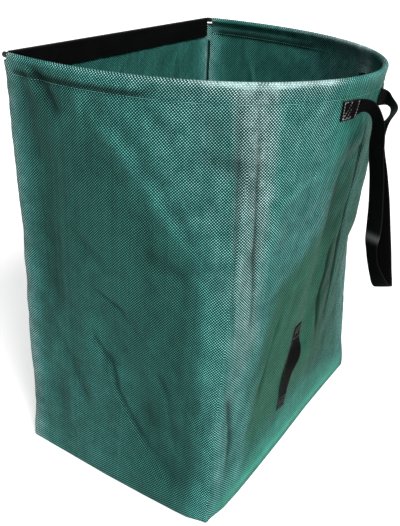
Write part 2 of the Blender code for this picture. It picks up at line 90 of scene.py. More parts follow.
# Narrow creases: half width, depth, tilt between the two sides, sharpness, then the (s, z) points on the way
creases = (
    # Front wall
    (0.01, 0.005, 0.001, 2.0, ((0.05, 0.698), (0.064, 0.684), (0.083, 0.66), (0.106, 0.616))),
    (0.012, 0.0026, 0.0, 2.0, ((0.036, 0.676), (0.044, 0.65), (0.052, 0.6), (0.056, 0.54))),
    (0.0055, -0.0034, 0.0, 1.6, ((0.046, 0.698), (0.052, 0.688), (0.06, 0.664), (0.07, 0.64))),
    (0.012, 0.0022, 0.0, 2.0, ((0.082, 0.64), (0.07, 0.548), (0.068, 0.452), (0.072, 0.348), (0.08, 0.256))),
    (0.0035, 0.0014, -0.0006, 1.2, ((0.07, 0.62), (0.056, 0.532), (0.058, 0.432), (0.06, 0.308))),
    (0.0035, 0.0012, 0.0006, 1.2, ((0.092, 0.61), (0.086, 0.5), (0.084, 0.38), (0.092, 0.3))),
    (0.005, -0.0018, 0.0, 1.6, ((0.136, 0.68), (0.139, 0.655), (0.146, 0.606))),
    (0.015, -0.0026, 0.003, 2.0, ((0.143, 0.65), (0.195, 0.615), (0.236, 0.56), (0.278, 0.496),
        (0.315, 0.444))),
    (0.013, 0.002, 0.0, 2.0, ((0.245, 0.646), (0.285, 0.62))),
    (0.014, 0.0022, 0.0006, 2.0, ((0.3, 0.6), (0.335, 0.586), (0.385, 0.58))),
    (0.011, 0.0018, 0.0, 2.0, ((0.226, 0.58), (0.246, 0.515))),
    (0.012, 0.0028, 0.0008, 2.0, ((0.23, 0.445), (0.268, 0.425), (0.31, 0.402))),
    (0.0045, 0.0026, -0.0014, 1.3, ((0.146, 0.366), (0.158, 0.36), (0.203, 0.336), (0.214, 0.33))),
    (0.006, 0.0028, -0.0014, 1.4, ((0.146, 0.28), (0.152, 0.268), (0.173, 0.236), (0.18, 0.222))),
    (0.005, 0.0038, 0.0016, 1.2, ((0.166, 0.27), (0.175, 0.24), (0.19, 0.18), (0.215, 0.14), (0.24, 0.106),
        (0.27, 0.074))),
    (0.012, 0.002, 0.001, 2.0, ((0.045, 0.3), (0.1, 0.2), (0.14, 0.11))),
    (0.01, 0.0016, -0.0008, 1.8, ((0.1, 0.47), (0.16, 0.42), (0.19, 0.4))),
    (0.006, 0.0018, 0.001, 1.5, ((0.255, 0.26), (0.285, 0.2), (0.3, 0.13))),
    # Fold lines on both sides of the front's right edge
    (0.0035, 0.0032, 0.0, 1.2, ((0.38, 0.7), (0.388, 0.65), (0.405, 0.54), (0.427, 0.408), (0.44, 0.3))),
    (0.0035, 0.0032, 0.0, 1.2, ((0.355, 0.7), (0.36, 0.64), (0.372, 0.504), (0.383, 0.392), (0.4, 0.28))),
    # Handle side
    (0.006, -0.0014, 0.0, 1.6, ((0.57, 0.568), (0.545, 0.56), (0.438, 0.524))),
    (0.0052, 0.0058, -0.0018, 1.2, ((0.646, 0.648), (0.676, 0.614), (0.714, 0.57), (0.734, 0.528),
        (0.74, 0.49), (0.738, 0.455), (0.748, 0.412), (0.762, 0.368), (0.774, 0.32), (0.777, 0.28),
        (0.78, 0.232), (0.778, 0.17))),
    (0.022, 0.0018, 0.0, 2.0, ((0.6, 0.65), (0.64, 0.59), (0.668, 0.53), (0.68, 0.45), (0.7, 0.36))),
    (0.016, 0.0014, 0.0, 2.0, ((0.742, 0.45), (0.748, 0.36), (0.755, 0.28), (0.765, 0.19))),
    (0.005, 0.0044, -0.0014, 1.2, ((0.722, 0.42), (0.719, 0.38), (0.725, 0.336), (0.723, 0.296),
        (0.729, 0.252), (0.75, 0.17))),
    (0.0035, -0.0014, 0.0, 1.3, ((0.612, 0.376), (0.598, 0.372), (0.56, 0.364), (0.548, 0.362))),
    (0.0035, -0.0014, 0.0, 1.3, ((0.65, 0.3), (0.642, 0.276), (0.63, 0.262))),
    (0.006, 0.0016, 0.001, 1.5, ((0.54, 0.34), (0.515, 0.24), (0.5, 0.15))),
    (0.008, 0.0024, 0.0012, 1.6, ((0.393, 0.24), (0.412, 0.18), (0.424, 0.13), (0.422, 0.07))),
    (0.006, -0.002, 0.0, 1.6, ((0.405, 0.018), (0.5, 0.022), (0.65, 0.026), (0.8, 0.024), (0.94, 0.016))),
    (0.012, 0.003, 0.0016, 1.6, ((0.87, 0.62), (0.85, 0.56), (0.86, 0.25))),
    # Back wall and lip side
    (0.014, 0.003, -0.0016, 1.8, ((1.06, 0.65), (1.11, 0.48), (1.09, 0.3), (1.13, 0.12))),
    (0.006, 0.0036, 0.0016, 1.3, ((1.24, 0.64), (1.21, 0.54), (1.23, 0.38))),
    (0.007, 0.0032, 0.0014, 1.3, ((0.99, 0.33), (1.05, 0.21), (1.1, 0.09))),
    (0.01, 0.0026, 0.0014, 1.6, ((1.45, 0.64), (1.48, 0.45), (1.46, 0.26))),
    (0.007, 0.0034, -0.0014, 1.3, ((1.76, 0.3), (1.7, 0.19), (1.65, 0.08))),
    (0.012, 0.0024, 0.001, 1.8, ((1.7, 0.62), (1.74, 0.47), (1.73, 0.33))),
)

# Lines on the cloth, as (s, z) points: the ridge where the front's painted shine ends, and the edges of the
# painted olive light and of the painted shine of the handle side
ridge_line = (
    (0.105, 0.7), (0.143, 0.65), (0.195, 0.615), (0.236, 0.56), (0.278, 0.496), (0.315, 0.444),
    (0.328, 0.384), (0.334, 0.304), (0.341, 0.22), (0.355, 0.128), (0.365, 0.0))
olive_light_line = (
    (0.69, 0.54), (0.66, 0.5), (0.633, 0.464), (0.568, 0.412), (0.5, 0.368), (0.487, 0.284),
    (0.486, 0.14), (0.49, 0.0))
shade_line = (
    (0.54, 0.7), (0.557, 0.628), (0.595, 0.56), (0.602, 0.524), (0.611, 0.488), (0.613, 0.452),
    (0.568, 0.412), (0.5, 0.368), (0.487, 0.284), (0.486, 0.14), (0.49, 0.0))

# The corner fold at the front's right edge: its arc length and its painted shine, each by height. Then the
# arc length of the handle side's main fold, by height.
corner_fold = ((0.0, 0.14, 0.3, 0.4, 0.52, 0.7), (0.385, 0.405, 0.428, 0.417, 0.402, 0.384))
corner_shine = ((0.0, 0.25, 0.45, 0.6), (0.28, 0.66, 0.96, 1.16))
main_fold = ((0.17, 0.33, 0.5, 0.65), (0.765, 0.752, 0.728, 0.65))

# How softly the corners are rounded, by height
corner_softness = ((0.0, 0.1, 0.5, 0.68, 0.7), (0.0022, 0.009, 0.009, 0.004, 0.0035))

# How far the foot bulges out, by arc length, and up to which height
foot_s = (0.0, 0.09, 0.177, 0.263, 0.345, 0.372, 0.39, 0.425, 0.47, 0.53, 0.64, 0.76, 0.87)
foot_out = (0.0, 0.004, 0.008, 0.0095, 0.0095, 0.003, 0.002, 0.0075, 0.0085, 0.0078, 0.0054, 0.001, 0.0)
foot_reach = 0.150

# The brighter teal band of the handle side above its bottom edge: arc lengths, and how high it reaches there
band_s = (0.38, 0.432, 0.547, 0.713, 0.8, 0.95)
band_z = (0.03, 0.046, 0.078, 0.11, 0.098, 0.052)

# Fabric, with the steps of its points
cloth = 0.0005
tape_width = 0.00225
column_step = 0.0025
row_step = 0.004
bottom_radius = 0.0045
fold_radius = 0.0020
bottom_allowance = 0.012
seam_allowance = 0.010
seam_low_z = 0.030
seam_top_z = 0.655
clearance = 0.0003
touch_gap = 0.0001

# Hem and the rod inside it
rod_radius = 0.0030
rod_inset = 0.0047
hem_depth = 0.032
hem_wrap = 35.0
hem_stitch_z = 0.6705
hem_end_setback = 0.010
notch_z = 0.688
hem_stitch_setback = 0.014
cap_setback = 0.0097
rod_step = 0.004
rod_sides = 12

# Straight lip
lip_end_setback = 0.012
sleeve_depth = 0.036
bar_thickness = 0.0025
sleeve_slack = 0.0007
webbing = 0.0014

# Handles
strap_width = 0.030
strap_crown = 0.0003
strap_step = 0.0025
handle_centre_z = 0.653
handle_sewn_length = 0.038
handle_sewn_near = 0.046
crest_narrowing = 0.20
narrowest_z = 0.640
narrowed_reach = 0.022
tipping_s = (0.628, 0.611)
tipping_top = 0.264
tipping_bottom = 0.094
tipping_sewn_length = 0.028
tipping_bow = 0.006
tipping_sway = 0.006
tipping_twist = math.radians(-20)

# The carrying handle's free halves, from where each lifts off to the loop's bottom: x, y and z of the middle,
# then the way its width points, as degrees turned from +X towards the front and degrees above the level
front_strap = (
    (0.2657, -0.0465, 0.6568, 32, 64), (0.2728, -0.04, 0.6575, 30, 52), (0.279, -0.0335, 0.6526, 31, 39),
    (0.283, -0.026, 0.643, 31, 29), (0.2852, -0.02, 0.6319, 26, 24), (0.286, -0.016, 0.6189, 22, 22),
    (0.2862, -0.0135, 0.5985, 20, 15), (0.2892, -0.0125, 0.572, 22, 10), (0.2938, -0.012, 0.5466, 23, 9),
    (0.299, -0.012, 0.5058, 23, 8), (0.3018, -0.013, 0.478, 20, 4), (0.3036, -0.016, 0.456, 22, 0),
    (0.3034, -0.017, 0.442, 30, 6), (0.3052, -0.013, 0.423, 36, 7), (0.3092, -0.0115, 0.4053, 36, 11),
    (0.3176, -0.01, 0.3865, 24, 17), (0.325, -0.006, 0.37, 6, 16), (0.3292, 0.0, 0.3644, -7, 16))
rear_strap = (
    (0.269, 0.054, 0.652, 50, 68), (0.2785, 0.046, 0.6485, 62, 44), (0.2858, 0.04, 0.645, 52, 36),
    (0.2902, 0.034, 0.639, 40, 30), (0.2885, 0.0275, 0.6315, 45, 28), (0.283, 0.022, 0.622, 42, 25),
    (0.2785, 0.018, 0.608, 32, 22), (0.277, 0.015, 0.592, 24, 17), (0.282, 0.013, 0.57, 18, 13),
    (0.2885, 0.012, 0.548, 14, 14), (0.299, 0.012, 0.503, 9, 14), (0.308, 0.012, 0.457, 7, 10),
    (0.315, 0.0115, 0.422, 4, 10), (0.3215, 0.01, 0.388, 2, 12), (0.3262, 0.006, 0.371, -4, 15),
    (0.3292, 0.0, 0.3644, -7, 16))

# Photograph's camera, with the focal length in pixels of a 400 by 526 picture
picture_height = 526
focal_pixels = 725.123
camera_place = (0.619, -1.050, 0.903)
camera_yaw = 0.547
camera_pitch = 0.456
camera_roll = 0.052


def smooth_step(value):
    """Ease from 0 to 1 as value goes from 0 to 1: 3 v^2 - 2 v^3."""
    held = np.clip(value, 0.0, 1.0)
    return held * held * (3.0 - 2.0 * held)


def unit(vectors):
    """Each vector along the last axis, divided by its length. A zero vector stays zero."""
    return vectors / np.maximum(np.linalg.norm(vectors, axis=-1, keepdims=True), 1e-12)


def past(value, start, ease):
    """0 up to start and 1 from start + ease on, with a smooth step between."""
    return smooth_step((value - start) / ease)


def short_of(value, end, ease):
    """1 up to end - ease and 0 from end on, with a smooth step between."""
    return smooth_step((end - value) / ease)


def between(value, start, end, ease):
    """0 outside start to end and 1 inside, with a smooth step at both ends."""
    return past(value, start, ease) * short_of(value, end, ease)


def bell(offset, width):
    """Bell curve: exp(-(offset / width)^2)."""
    return np.exp(-(offset / width) ** 2)


def lengths_along(line):
    """Length from the start of a line, or of each line of a grid, to each of its points."""
    steps = np.linalg.norm(np.diff(line, axis=0), axis=-1)
    return np.concatenate([np.zeros_like(steps[:1]), np.cumsum(steps, axis=0)])


def at_lengths(wanted, lengths, values):
    """Values along a line, such as its places, at the wanted lengths."""
    return np.stack([np.interp(wanted, lengths, values[:, axis]) for axis in range(values.shape[1])], axis=-1)


def arch_curve():
    """Arch of the mouth, x growing with sin^(2/n) and y swinging with cos^(2/n), and its arc lengths."""
    turn = np.linspace(0.0, math.pi, 4001)
    rise = np.sin(turn)
    side = np.cos(turn)
    power = 2.0 / arch_squareness
    x = lip_x + arch_reach * rise ** power
    y = -(lip_length / 2 + arch_flare * rise) * np.sign(side) * np.abs(side) ** power
    lengths = np.concatenate([[0.0], np.cumsum(np.hypot(np.diff(x), np.diff(y)))])
    return x, y, lengths


ARCH = arch_curve()


def skin(s, z, inset):
    """Straight lines from the base rectangle, made smaller by inset, to the mouth's point with the same s."""
    arch_x, arch_y, lengths = ARCH
    fabric_arch = corner_s[3]
    mouth_s = [0.0, front_share_at_mouth, fabric_arch - front_share_at_mouth, fabric_arch]
    along = np.interp(s, corner_s[:4], mouth_s) * lengths[-1] / fabric_arch
    on_lip = s > fabric_arch
    lip_y = lip_length / 2 - (s - fabric_arch) * lip_length / base_depth
    mouth_x = np.where(on_lip, lip_x, np.interp(along, lengths, arch_x))
    mouth_y = np.where(on_lip, lip_y, np.interp(along, lengths, arch_y))
    floor_x = np.interp(s, corner_s, [-1.0, 1.0, 1.0, -1.0, -1.0]) * (base_width / 2 - inset)
    floor_y = np.interp(s, corner_s, [-1.0, -1.0, 1.0, 1.0, -1.0]) * (base_depth / 2 - inset)
    share = np.clip((z - square_foot) / (bag_height - square_foot), 0.0, 1.0)
    x = floor_x + (mouth_x - floor_x) * share
    y = floor_y + (mouth_y - floor_y) * share
    return np.stack([x, y, z + 0.0 * x], axis=-1)


def sag_direction(s):
    """Level direction into the bag, turned smoothly from one wall's to the next across each corner."""
    inward = np.array([[1.0, 0.0], [0.0, 1.0], [-1.0, 0.0], [0.0, -1.0], [1.0, 0.0], [0.0, 1.0]])
    wall = np.clip(np.searchsorted(corner_s, s, side="right") - 1, 0, 3)
    start_share = 0.5 * (1.0 - smooth_step((s - corner_s[wall]) / corner_turn))
    end_share = 0.5 * (1.0 - smooth_step((corner_s[wall + 1] - s) / corner_turn))
    mixed = inward[wall + 1] * (1.0 - start_share - end_share)[..., None]
    mixed = mixed + inward[wall] * start_share[..., None] + inward[wall + 2] * end_share[..., None]
    level = unit(mixed)
    return np.concatenate([level, np.zeros_like(level[..., :1])], axis=-1)


def sag_depth(s, z):
    """Depth under the skin: each corner's and wall's sag, most at mid height, and a bell round each fold."""
    middle = np.interp(s, (corner_s[:-1] + corner_s[1:]) / 2, wall_sag)
    wall = np.clip(np.searchsorted(corner_s, s, side="right") - 1, 0, 3)
    across = (s - corner_s[wall]) / (corner_s[wall + 1] - corner_s[wall])
    bow = np.sin(math.pi * across) ** 2
    depth = np.interp(s, corner_s, corner_sag) * (1.0 - bow) + middle * bow
    depth = depth * np.sin(math.pi * np.clip(z / bag_height, 0.0, 1.0)) ** sag_gather
    for start_s, start_z, end_s, end_z, half_width, fold_depth in folds:
        run_s = end_s - start_s
        run_z = end_z - start_z
        share = ((s - start_s) * run_s + (z - start_z) * run_z) / (run_s ** 2 + run_z ** 2)
        held = np.clip(share, 0.0, 1.0)
        away_s = s - start_s - held * run_s
        away_z = z - start_z - held * run_z
        depth = depth + fold_depth * np.exp(-(away_s ** 2 + away_z ** 2) / half_width ** 2)
    return depth * past(z, square_foot, foot_give) * short_of(z, bag_height - stiff_rim, rim_give)


def beside_line(s, z, points):
    """Signed distance from a broken line in s and z, and the share of its length at the nearest point."""
    places = np.array(points)
    runs = np.diff(places, axis=0)
    lengths = np.hypot(runs[:, 0], runs[:, 1])
    starts = np.concatenate([[0.0], np.cumsum(lengths)])
    nearest = np.full(np.broadcast(s, z).shape, 1.0e9)
    signed = np.zeros_like(nearest)
    share = np.zeros_like(nearest)
    for place, run, length, start in zip(places, runs, lengths, starts):
        off_s = s - place[0]
        off_z = z - place[1]
        held = np.clip((off_s * run[0] + off_z * run[1]) / length ** 2, 0.0, 1.0)
        distance = np.hypot(off_s - held * run[0], off_z - held * run[1])
        side = np.sign(run[0] * off_z - run[1] * off_s)
        closer = distance < nearest
        nearest = np.where(closer, distance, nearest)
        signed = np.where(closer, distance * side, signed)
        share = np.where(closer, (start + held * length) / starts[-1], share)
    return signed, share


def crease_depth(s, z):
    """Sum of each crease's depth exp(-|d / w|^p) + 2 tilt (d / w) exp(-(d / w)^2), faded out at both ends."""
    depth = np.zeros(np.broadcast(s, z).shape)
    for half_width, deep, tilt, sharpness, points in creases:
        signed, share = beside_line(s, z, points)
        scaled = signed / half_width
        ends = between(share, 0.0, 1.0, 0.25)
        depth += ends * deep * np.exp(-np.abs(scaled) ** sharpness)
        depth += ends * 2.0 * tilt * scaled * np.exp(-scaled ** 2)
    return depth


def handle_side_share(s):
    """1 on the handle side and 0 on the other walls, eased across both corners."""
    return between(s, 0.37, 0.96, 0.05)


def rumple(s, z):
    """Small creases: seeded ridged waves that lean right and, on the handle side, a set that leans left.

    Each wave is size (1 - sqrt(sin(phase)^2 + 0.02)), times a slower wave that makes it come and go.
    """
    draw = np.random.default_rng(11)
    side_share = handle_side_share(s)
    depth = np.zeros(np.broadcast(s, z).shape)
    for lean, spread, weight in ((28.0, 26.0, 1.0 - side_share), (-20.0, 20.0, side_share)):
        for order in range(26):
            wavelength = 0.040 + 0.16 * draw.random() ** 1.5
            angle = math.radians(lean + spread * draw.normal())
            turns = round(around * math.cos(angle) / wavelength)
            phase = math.pi * (2.0 * turns * s / around + 2.0 * math.sin(angle) / wavelength * z) + order
            phase = phase + 1.1 * np.sin(2.0 * math.pi * (3.0 * s / around + 2.3 * z) + 1.7 * order)
            slow = math.pi * (2.0 * draw.integers(1, 8) * s / around + draw.normal() * 5.0 * z) + 2.4 * order
            present = np.clip(np.sin(slow), 0.0, 1.0) ** 2
            size = 0.0080 * wavelength * (0.4 + draw.random())
            depth += weight * present * size * (1.0 - np.sqrt(np.sin(phase) ** 2 + 0.02))
    return depth * past(z, 0.02, 0.05) * short_of(z, 0.69, 0.04)


def front_s(s):
    """Arc length with the back wall mirrored onto the front wall; the lip side lies off the scale."""
    return np.where(s > corner_s[3], around, np.where(s > corner_s[2], corner_s[3] - s, s))


def band_map(s, z):
    """The brighter, lower-contrast teal parts of the handle side: a band above its bottom edge, with a
    painted highlight along its low crest and weaker at the very edge, and a fainter patch below the carrying
    handle's ends.
    """
    upper = smooth_step((np.interp(s, band_s, band_z) - z) / 0.030)
    foot = 0.35 + 0.65 * past(z, 0.002, 0.010)
    patch = 0.40 * past(z, 0.50, 0.08) * past(s, 0.52, 0.06) * short_of(s, 0.75, 0.05)
    # The bell at z 0.021 is a painted highlight along the band's low crest.
    teal_band = (0.75 * upper + 0.35 * bell(z - 0.021, 0.009)) * foot + patch
    return between(s, 0.385, 0.945, 0.03) * np.clip(teal_band, 0.0, 1.0)


def painted_shine_map(s, z):
    """Painted shine, a painted highlight that pales the tapes and also smooths them: bells along the corner
    folds, the rim and the lip's corners, and shares right of the front's ridge, low on its left, in the hem
    and on the handle side before its shade line.
    """
    half = front_s(s)
    fold_s = np.interp(z, *corner_fold)
    off_fold = np.minimum(np.abs(s - fold_s), np.abs(corner_s[3] - s - fold_s))
    fold = np.interp(z, *corner_shine) * np.exp(-(off_fold / 0.046) ** 2.6)
    beside, _ = beside_line(half, z, ridge_line)
    panel = smooth_step(0.4 + beside / 0.075) * (1.0 - past(half, 0.40, 0.08))
    panel = 0.48 * panel * (0.35 + 0.65 * past(half, 0.15, 0.17))
    shaded, _ = beside_line(s, z, shade_line)
    side = 0.10 + 0.10 * past(z, 0.40, 0.10) + 0.26 * smooth_step(0.5 - shaded / 0.04)
    side = between(s, 0.39, 0.94, 0.02) * side
    # Painted highlight along the rim, strongest near the front's right corner.
    rim = past(z, 0.690, 0.006) * (0.30 + 1.5 * bell(half - 0.43, 0.10))
    hem = 0.16 * past(z, 0.676, 0.008) * past(half, 0.08, 0.10)
    edge = 0.07 * bell(beside - 0.008, 0.012)
    low = 0.13 * short_of(z, 0.42, 0.25) * short_of(half, 0.28, 0.12)
    lip_fold = 0.70 * (bell(np.minimum(s, around - s) - 0.006, 0.026) + bell(s - corner_s[3], 0.026))
    total = np.maximum(np.maximum(fold, panel), side) + rim + hem + edge + low + lip_fold
    return np.clip(total * (1.0 - 0.8 * band_map(s, z)), 0.0, 1.8)


def olive_light_map(s, z):
    """Painted olive cast of light, with a duller weave: the handle side behind a line, less past the main
    fold.
    """
    beside, _ = beside_line(s, z, olive_light_line)
    on_side = smooth_step(0.5 + beside / 0.045) * between(s, 0.40, 0.94, 0.06)
    beyond = past(s, np.interp(z, *main_fold), 0.012)
    above = past(z, np.interp(s, band_s, band_z), 0.020)
    return on_side * (1.0 - 0.65 * beyond) * above


def hem_dip(s, z):
    """The hem's own form: a hollow under the rod, lower and deeper near the lip, a groove at the stitch line,
    and puckers beside it.
    """
    off_lip = between(s, 0.010, corner_s[3] - 0.010, 0.02)
    near_lip = short_of(s, 0.255, 0.04) + smooth_step((s - corner_s[3] + 0.255) / 0.04)
    middle = 0.6825 - 0.0075 * near_lip
    hollow = 0.0012 * (1.0 + 2.0 * near_lip) * bell(z - middle, 0.0070 - 0.0022 * near_lip)
    groove = 0.0009 * bell(z - hem_stitch_z, 0.0030)
    pucker = 0.00025 * np.sin(2.0 * math.pi * 96 * s / around + 2.0 * np.sin(2.0 * math.pi * 17 * s / around))
    return (hollow + groove + pucker * bell(z - hem_stitch_z, 0.011)) * off_lip


def fabric_profile():
    """Rows from the turned-up allowance, round the bottom edge, up the wall, over the rod and down inside it.

    Each row is (height, inset square to the base's sides, inset along the wall's own normal).
    """
    stand = bottom_radius + fold_radius
    rows = [(height, stand, 0.0) for height in (bottom_allowance + fold_radius, 0.009, 0.005, 0.0028)]
    rows += [(0.0012, stand - 0.0005, 0.0), (cloth / 2 + 0.0002, stand - 0.0014, 0.0)]
    radius = bottom_radius - cloth / 2
    for angle in np.radians(np.linspace(-90, 0, 8)):
        rows.append((bottom_radius + radius * math.sin(angle), bottom_radius - radius * math.cos(angle), 0.0))
    upright = np.linspace(square_foot, notch_z, round((notch_z - square_foot) / row_step) + 1)
    rod_z = bag_height - rod_inset
    upright = (bottom_radius + 0.0035, bottom_radius + 0.0065, *upright, 0.6905, 0.6930, rod_z)
    rows += [(height, 0.0, cloth / 2) for height in upright]
    turn = rod_inset - cloth / 2
    for angle in np.radians(np.linspace(0, 180 + hem_wrap, 15)[1:]):
        rows.append((rod_z + turn * math.sin(angle), 0.0, rod_inset - turn * math.cos(angle)))
    leg = 1.5 * cloth + clearance
    for height, off in ((0.6897, 0.0052), (0.6863, 0.0029), (0.6832, 0.0009), (0.6800, 0.0002)):
        rows.append((height, 0.0, leg + off))
    rows += [(height, 0.0, leg) for height in (0.6765, 0.6730, 0.6700, bag_height - hem_depth)]
    return np.array(rows)


mark_labels = ("Hollow", "Shine", "OliveLight", "Band", "Lean")
PROFILE = fabric_profile()
LOOP_S = np.arange(round(around / column_step)) * column_step
notch_row = int(np.argmin(np.abs(PROFILE[:, 0] - notch_z)))
top_row = notch_row + 3
foot_row = int(np.argmax(PROFILE[:, 2] > 0.0))


def softened(line, softness):
    """Level lines with their corners rounded: each is averaged along itself by a bell of width softness.

    The average is a product of the line's Fourier series with exp(-(2 pi f softness)^2 / 2).
    """
    frequency = np.fft.rfftfreq(line.shape[0], d=column_step)
    kept = np.exp(-0.5 * (2.0 * math.pi * frequency[:, None] * softness[None, :]) ** 2)
    return np.fft.irfft(np.fft.rfft(line, axis=0) * kept[..., None], n=line.shape[0], axis=0)


def fabric_grid():
    """Mid-surface of the whole fabric, its outward normals and its marks, columns by rows."""
    s, z = np.meshgrid(LOOP_S, PROFILE[:, 0], indexing="ij")
    inset = np.broadcast_to(PROFILE[:, 1], s.shape)
    near_edges = between(z, 0.008, 0.694, 0.012)
    crease = crease_depth(s, z) * near_edges
    waves = rumple(s, z) * near_edges
    hem = hem_dip(s, z)
    depth = sag_depth(s, z) + crease + waves + hem
    bulge = np.interp(s, foot_s, foot_out) * (1.0 - smooth_step(z / foot_reach))
    middle = skin(s, z, inset) - sag_direction(s) * bulge[..., None]
    middle = softened(middle, np.interp(PROFILE[:, 0], *corner_softness))
    middle[..., 2] = z
    middle = middle + sag_direction(s) * depth[..., None]
    ahead = np.roll(middle, -1, axis=0) - np.roll(middle, 1, axis=0)
    level = unit(np.stack([-ahead[..., 1], ahead[..., 0], 0.0 * ahead[..., 0]], axis=-1))
    middle = middle + level * PROFILE[None, :, 2, None]
    ahead = np.roll(middle, -1, axis=0) - np.roll(middle, 1, axis=0)
    outward = unit(np.cross(ahead, np.gradient(middle, axis=1)))
    lean = handle_side_share(s)
    # Hollow: crease, rumple and hem depth, which the fabric material turns into painted shade in hollows and
    # painted highlight on ridges.
    hollow = crease * (1.0 + 1.2 * lean) + waves + 2.2 * hem
    marks = np.stack([hollow, painted_shine_map(s, z), olive_light_map(s, z), band_map(s, z), lean], axis=-1)
    return [np.concatenate([values, values[:1]]) for values in (middle, outward, marks)]


FABRIC, OUTWARD, MARKS = fabric_grid()


def on_fabric(s, z, stand=0.0):
    """Places that stand off the outer face at arc lengths s and heights z, and the outward normals there.

    Both are mixed in straight lines from the four points round each place.
    """
    s, z = np.broadcast_arrays(s, z)
    column = np.mod(s, around) / column_step
    heights = PROFILE[foot_row:top_row + 1, 0]
    row = foot_row + np.interp(z, heights, np.arange(len(heights)))
    left = np.clip(np.floor(column).astype(int), 0, len(LOOP_S) - 1)
    low = np.clip(np.floor(row).astype(int), foot_row, top_row - 1)
    over = (column - left)[..., None]
    up = (row - low)[..., None]
    found = []
    for field in (FABRIC, OUTWARD):
        below = field[left, low] * (1.0 - over) + field[left + 1, low] * over
        above = field[left, low + 1] * (1.0 - over) + field[left + 1, low + 1] * over
        found.append(below * (1.0 - up) + above * up)
    normal = unit(found[1])
    return found[0] + normal * (cloth / 2 + stand), normal


def fill_mesh(mesh, places, faces):
    """Put places and four-cornered or three-cornered faces, given as an index array, into a mesh."""
    corners = faces.shape[1]
    mesh.vertices.add(len(places))
    mesh.vertices.foreach_set("co", places.astype(np.float32).ravel())
    mesh.loops.add(faces.size)
    mesh.loops.foreach_set("vertex_index", faces.astype(np.int32).ravel())
    mesh.polygons.add(len(faces))
    mesh.polygons.foreach_set("loop_start", np.arange(0, faces.size, corners, dtype=np.int32))
    mesh.polygons.foreach_set("use_smooth", np.ones(len(faces), dtype=bool))
    mesh.update(calc_edges=True)
    mesh.validate()


def new_piece(name, mesh, material, body="bag"):
    """Link a mesh as a piece of a body, with its material."""
    piece = bpy.data.objects.new(name, mesh)
    bpy.context.scene.collection.objects.link(piece)
    mesh.materials.append(material)
    if body:
        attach(piece, body)
    return piece


def outward_of(middle):
    """Normals of a grid surface: the cross product of its steps along the first and the second axis."""
    return unit(np.cross(np.gradient(middle, axis=0), np.gradient(middle, axis=1)))


def shell(name, middle, outward, flat, thickness, keep=None, marks=None):
    """Closed cloth of a grid: middle + outward * t / 2, middle - outward * t / 2 and a rim on each open edge.

    flat holds each point's place on the uncut cloth, in metres, and becomes the UV map. keep says which cells
    stay. marks holds a value for each point under each name, and becomes attributes. The crease depth,
    Hollow, changes sign on the inner face.
    """
    across, along = middle.shape[:2]
    count = across * along
    if keep is None:
        keep = np.ones((across - 1, along - 1), dtype=bool)
    half = outward * (np.broadcast_to(thickness, (across, along)) / 2)[..., None]
    places = np.concatenate([(middle + half).reshape(-1, 3), (middle - half).reshape(-1, 3)])
    index = np.arange(count).reshape(across, along)
    quad = np.stack([index[:-1, :-1], index[1:, :-1], index[1:, 1:], index[:-1, 1:]], axis=-1)
    faces = [quad[keep], (quad[keep] + count)[:, ::-1]]
    ringed = np.pad(keep, 1)
    beside = (ringed[1:-1, :-2], ringed[2:, 1:-1], ringed[1:-1, 2:], ringed[:-2, 1:-1])
    for side in range(4):
        is_open = keep & ~beside[side]
        start = quad[..., side][is_open]
        end = quad[..., (side + 1) % 4][is_open]
        faces.append(np.stack([end, start, start + count, end + count], axis=-1))
    faces = np.concatenate(faces)
    used = np.unique(faces)
    renumber = np.full(2 * count, -1)
    renumber[used] = np.arange(len(used))
    faces = renumber[faces]
    mesh = bpy.data.meshes.new(name)
    fill_mesh(mesh, places[used], faces)
    flat_twice = np.concatenate([flat.reshape(-1, 2), flat.reshape(-1, 2)])[used]
    layer = mesh.uv_layers.new(name="Cloth")
    layer.data.foreach_set("uv", flat_twice[faces].astype(np.float32).ravel())
    normals = np.concatenate([outward.reshape(-1, 3), -outward.reshape(-1, 3)])[used]
    mesh.normals_split_custom_set_from_vertices(normals.tolist())
    for label, values in (marks or {}).items():
        inner_sign = -1.0 if label == "Hollow" else 1.0
        value = np.concatenate([values.ravel(), inner_sign * values.ravel()])[used]
        mesh.attributes.new(label, "FLOAT", "POINT").data.foreach_set("value", value.astype(np.float32))
    return mesh


def make_wall(name, first_s, last_s, material):
    """One wall, and its flat size: the fabric's columns between two corners, less the cells cut away."""
    columns = slice(round(first_s / column_step), round(last_s / column_step) + 1)
    middle = FABRIC[columns]
    level = lengths_along(middle[..., :2])
    steps = np.hypot(np.diff(PROFILE[:, 0]), np.diff(PROFILE[:, 1] + PROFILE[:, 2]))
    up = np.concatenate([[0.0], np.cumsum(steps)])
    flat = np.stack([level - level[-1] / 2, np.broadcast_to(up, level.shape)], axis=-1)
    keep = np.ones((middle.shape[0] - 1, middle.shape[1] - 1), dtype=bool)
    hem_end = round(hem_end_setback / column_step)
    lip_end = round(lip_end_setback / column_step)
    flat_height = up[-1]
    if name == "front_fabric":
        keep[:hem_end, notch_row:] = False
    if name == "back_fabric":
        keep[-hem_end:, notch_row:] = False
    if name == "lip_side_fabric":
        keep[:, top_row:] = False
        keep[:lip_end, notch_row:] = False
        keep[-lip_end:, notch_row:] = False
        flat_height = up[top_row]
    marks = {label: MARKS[columns, :, number] for number, label in enumerate(mark_labels)}
    mesh = shell(name, middle, OUTWARD[columns], flat, cloth, keep, marks)
    wall = new_piece(name, mesh, material)
    return wall, (last_s - first_s + 2 * seam_allowance, flat_height)


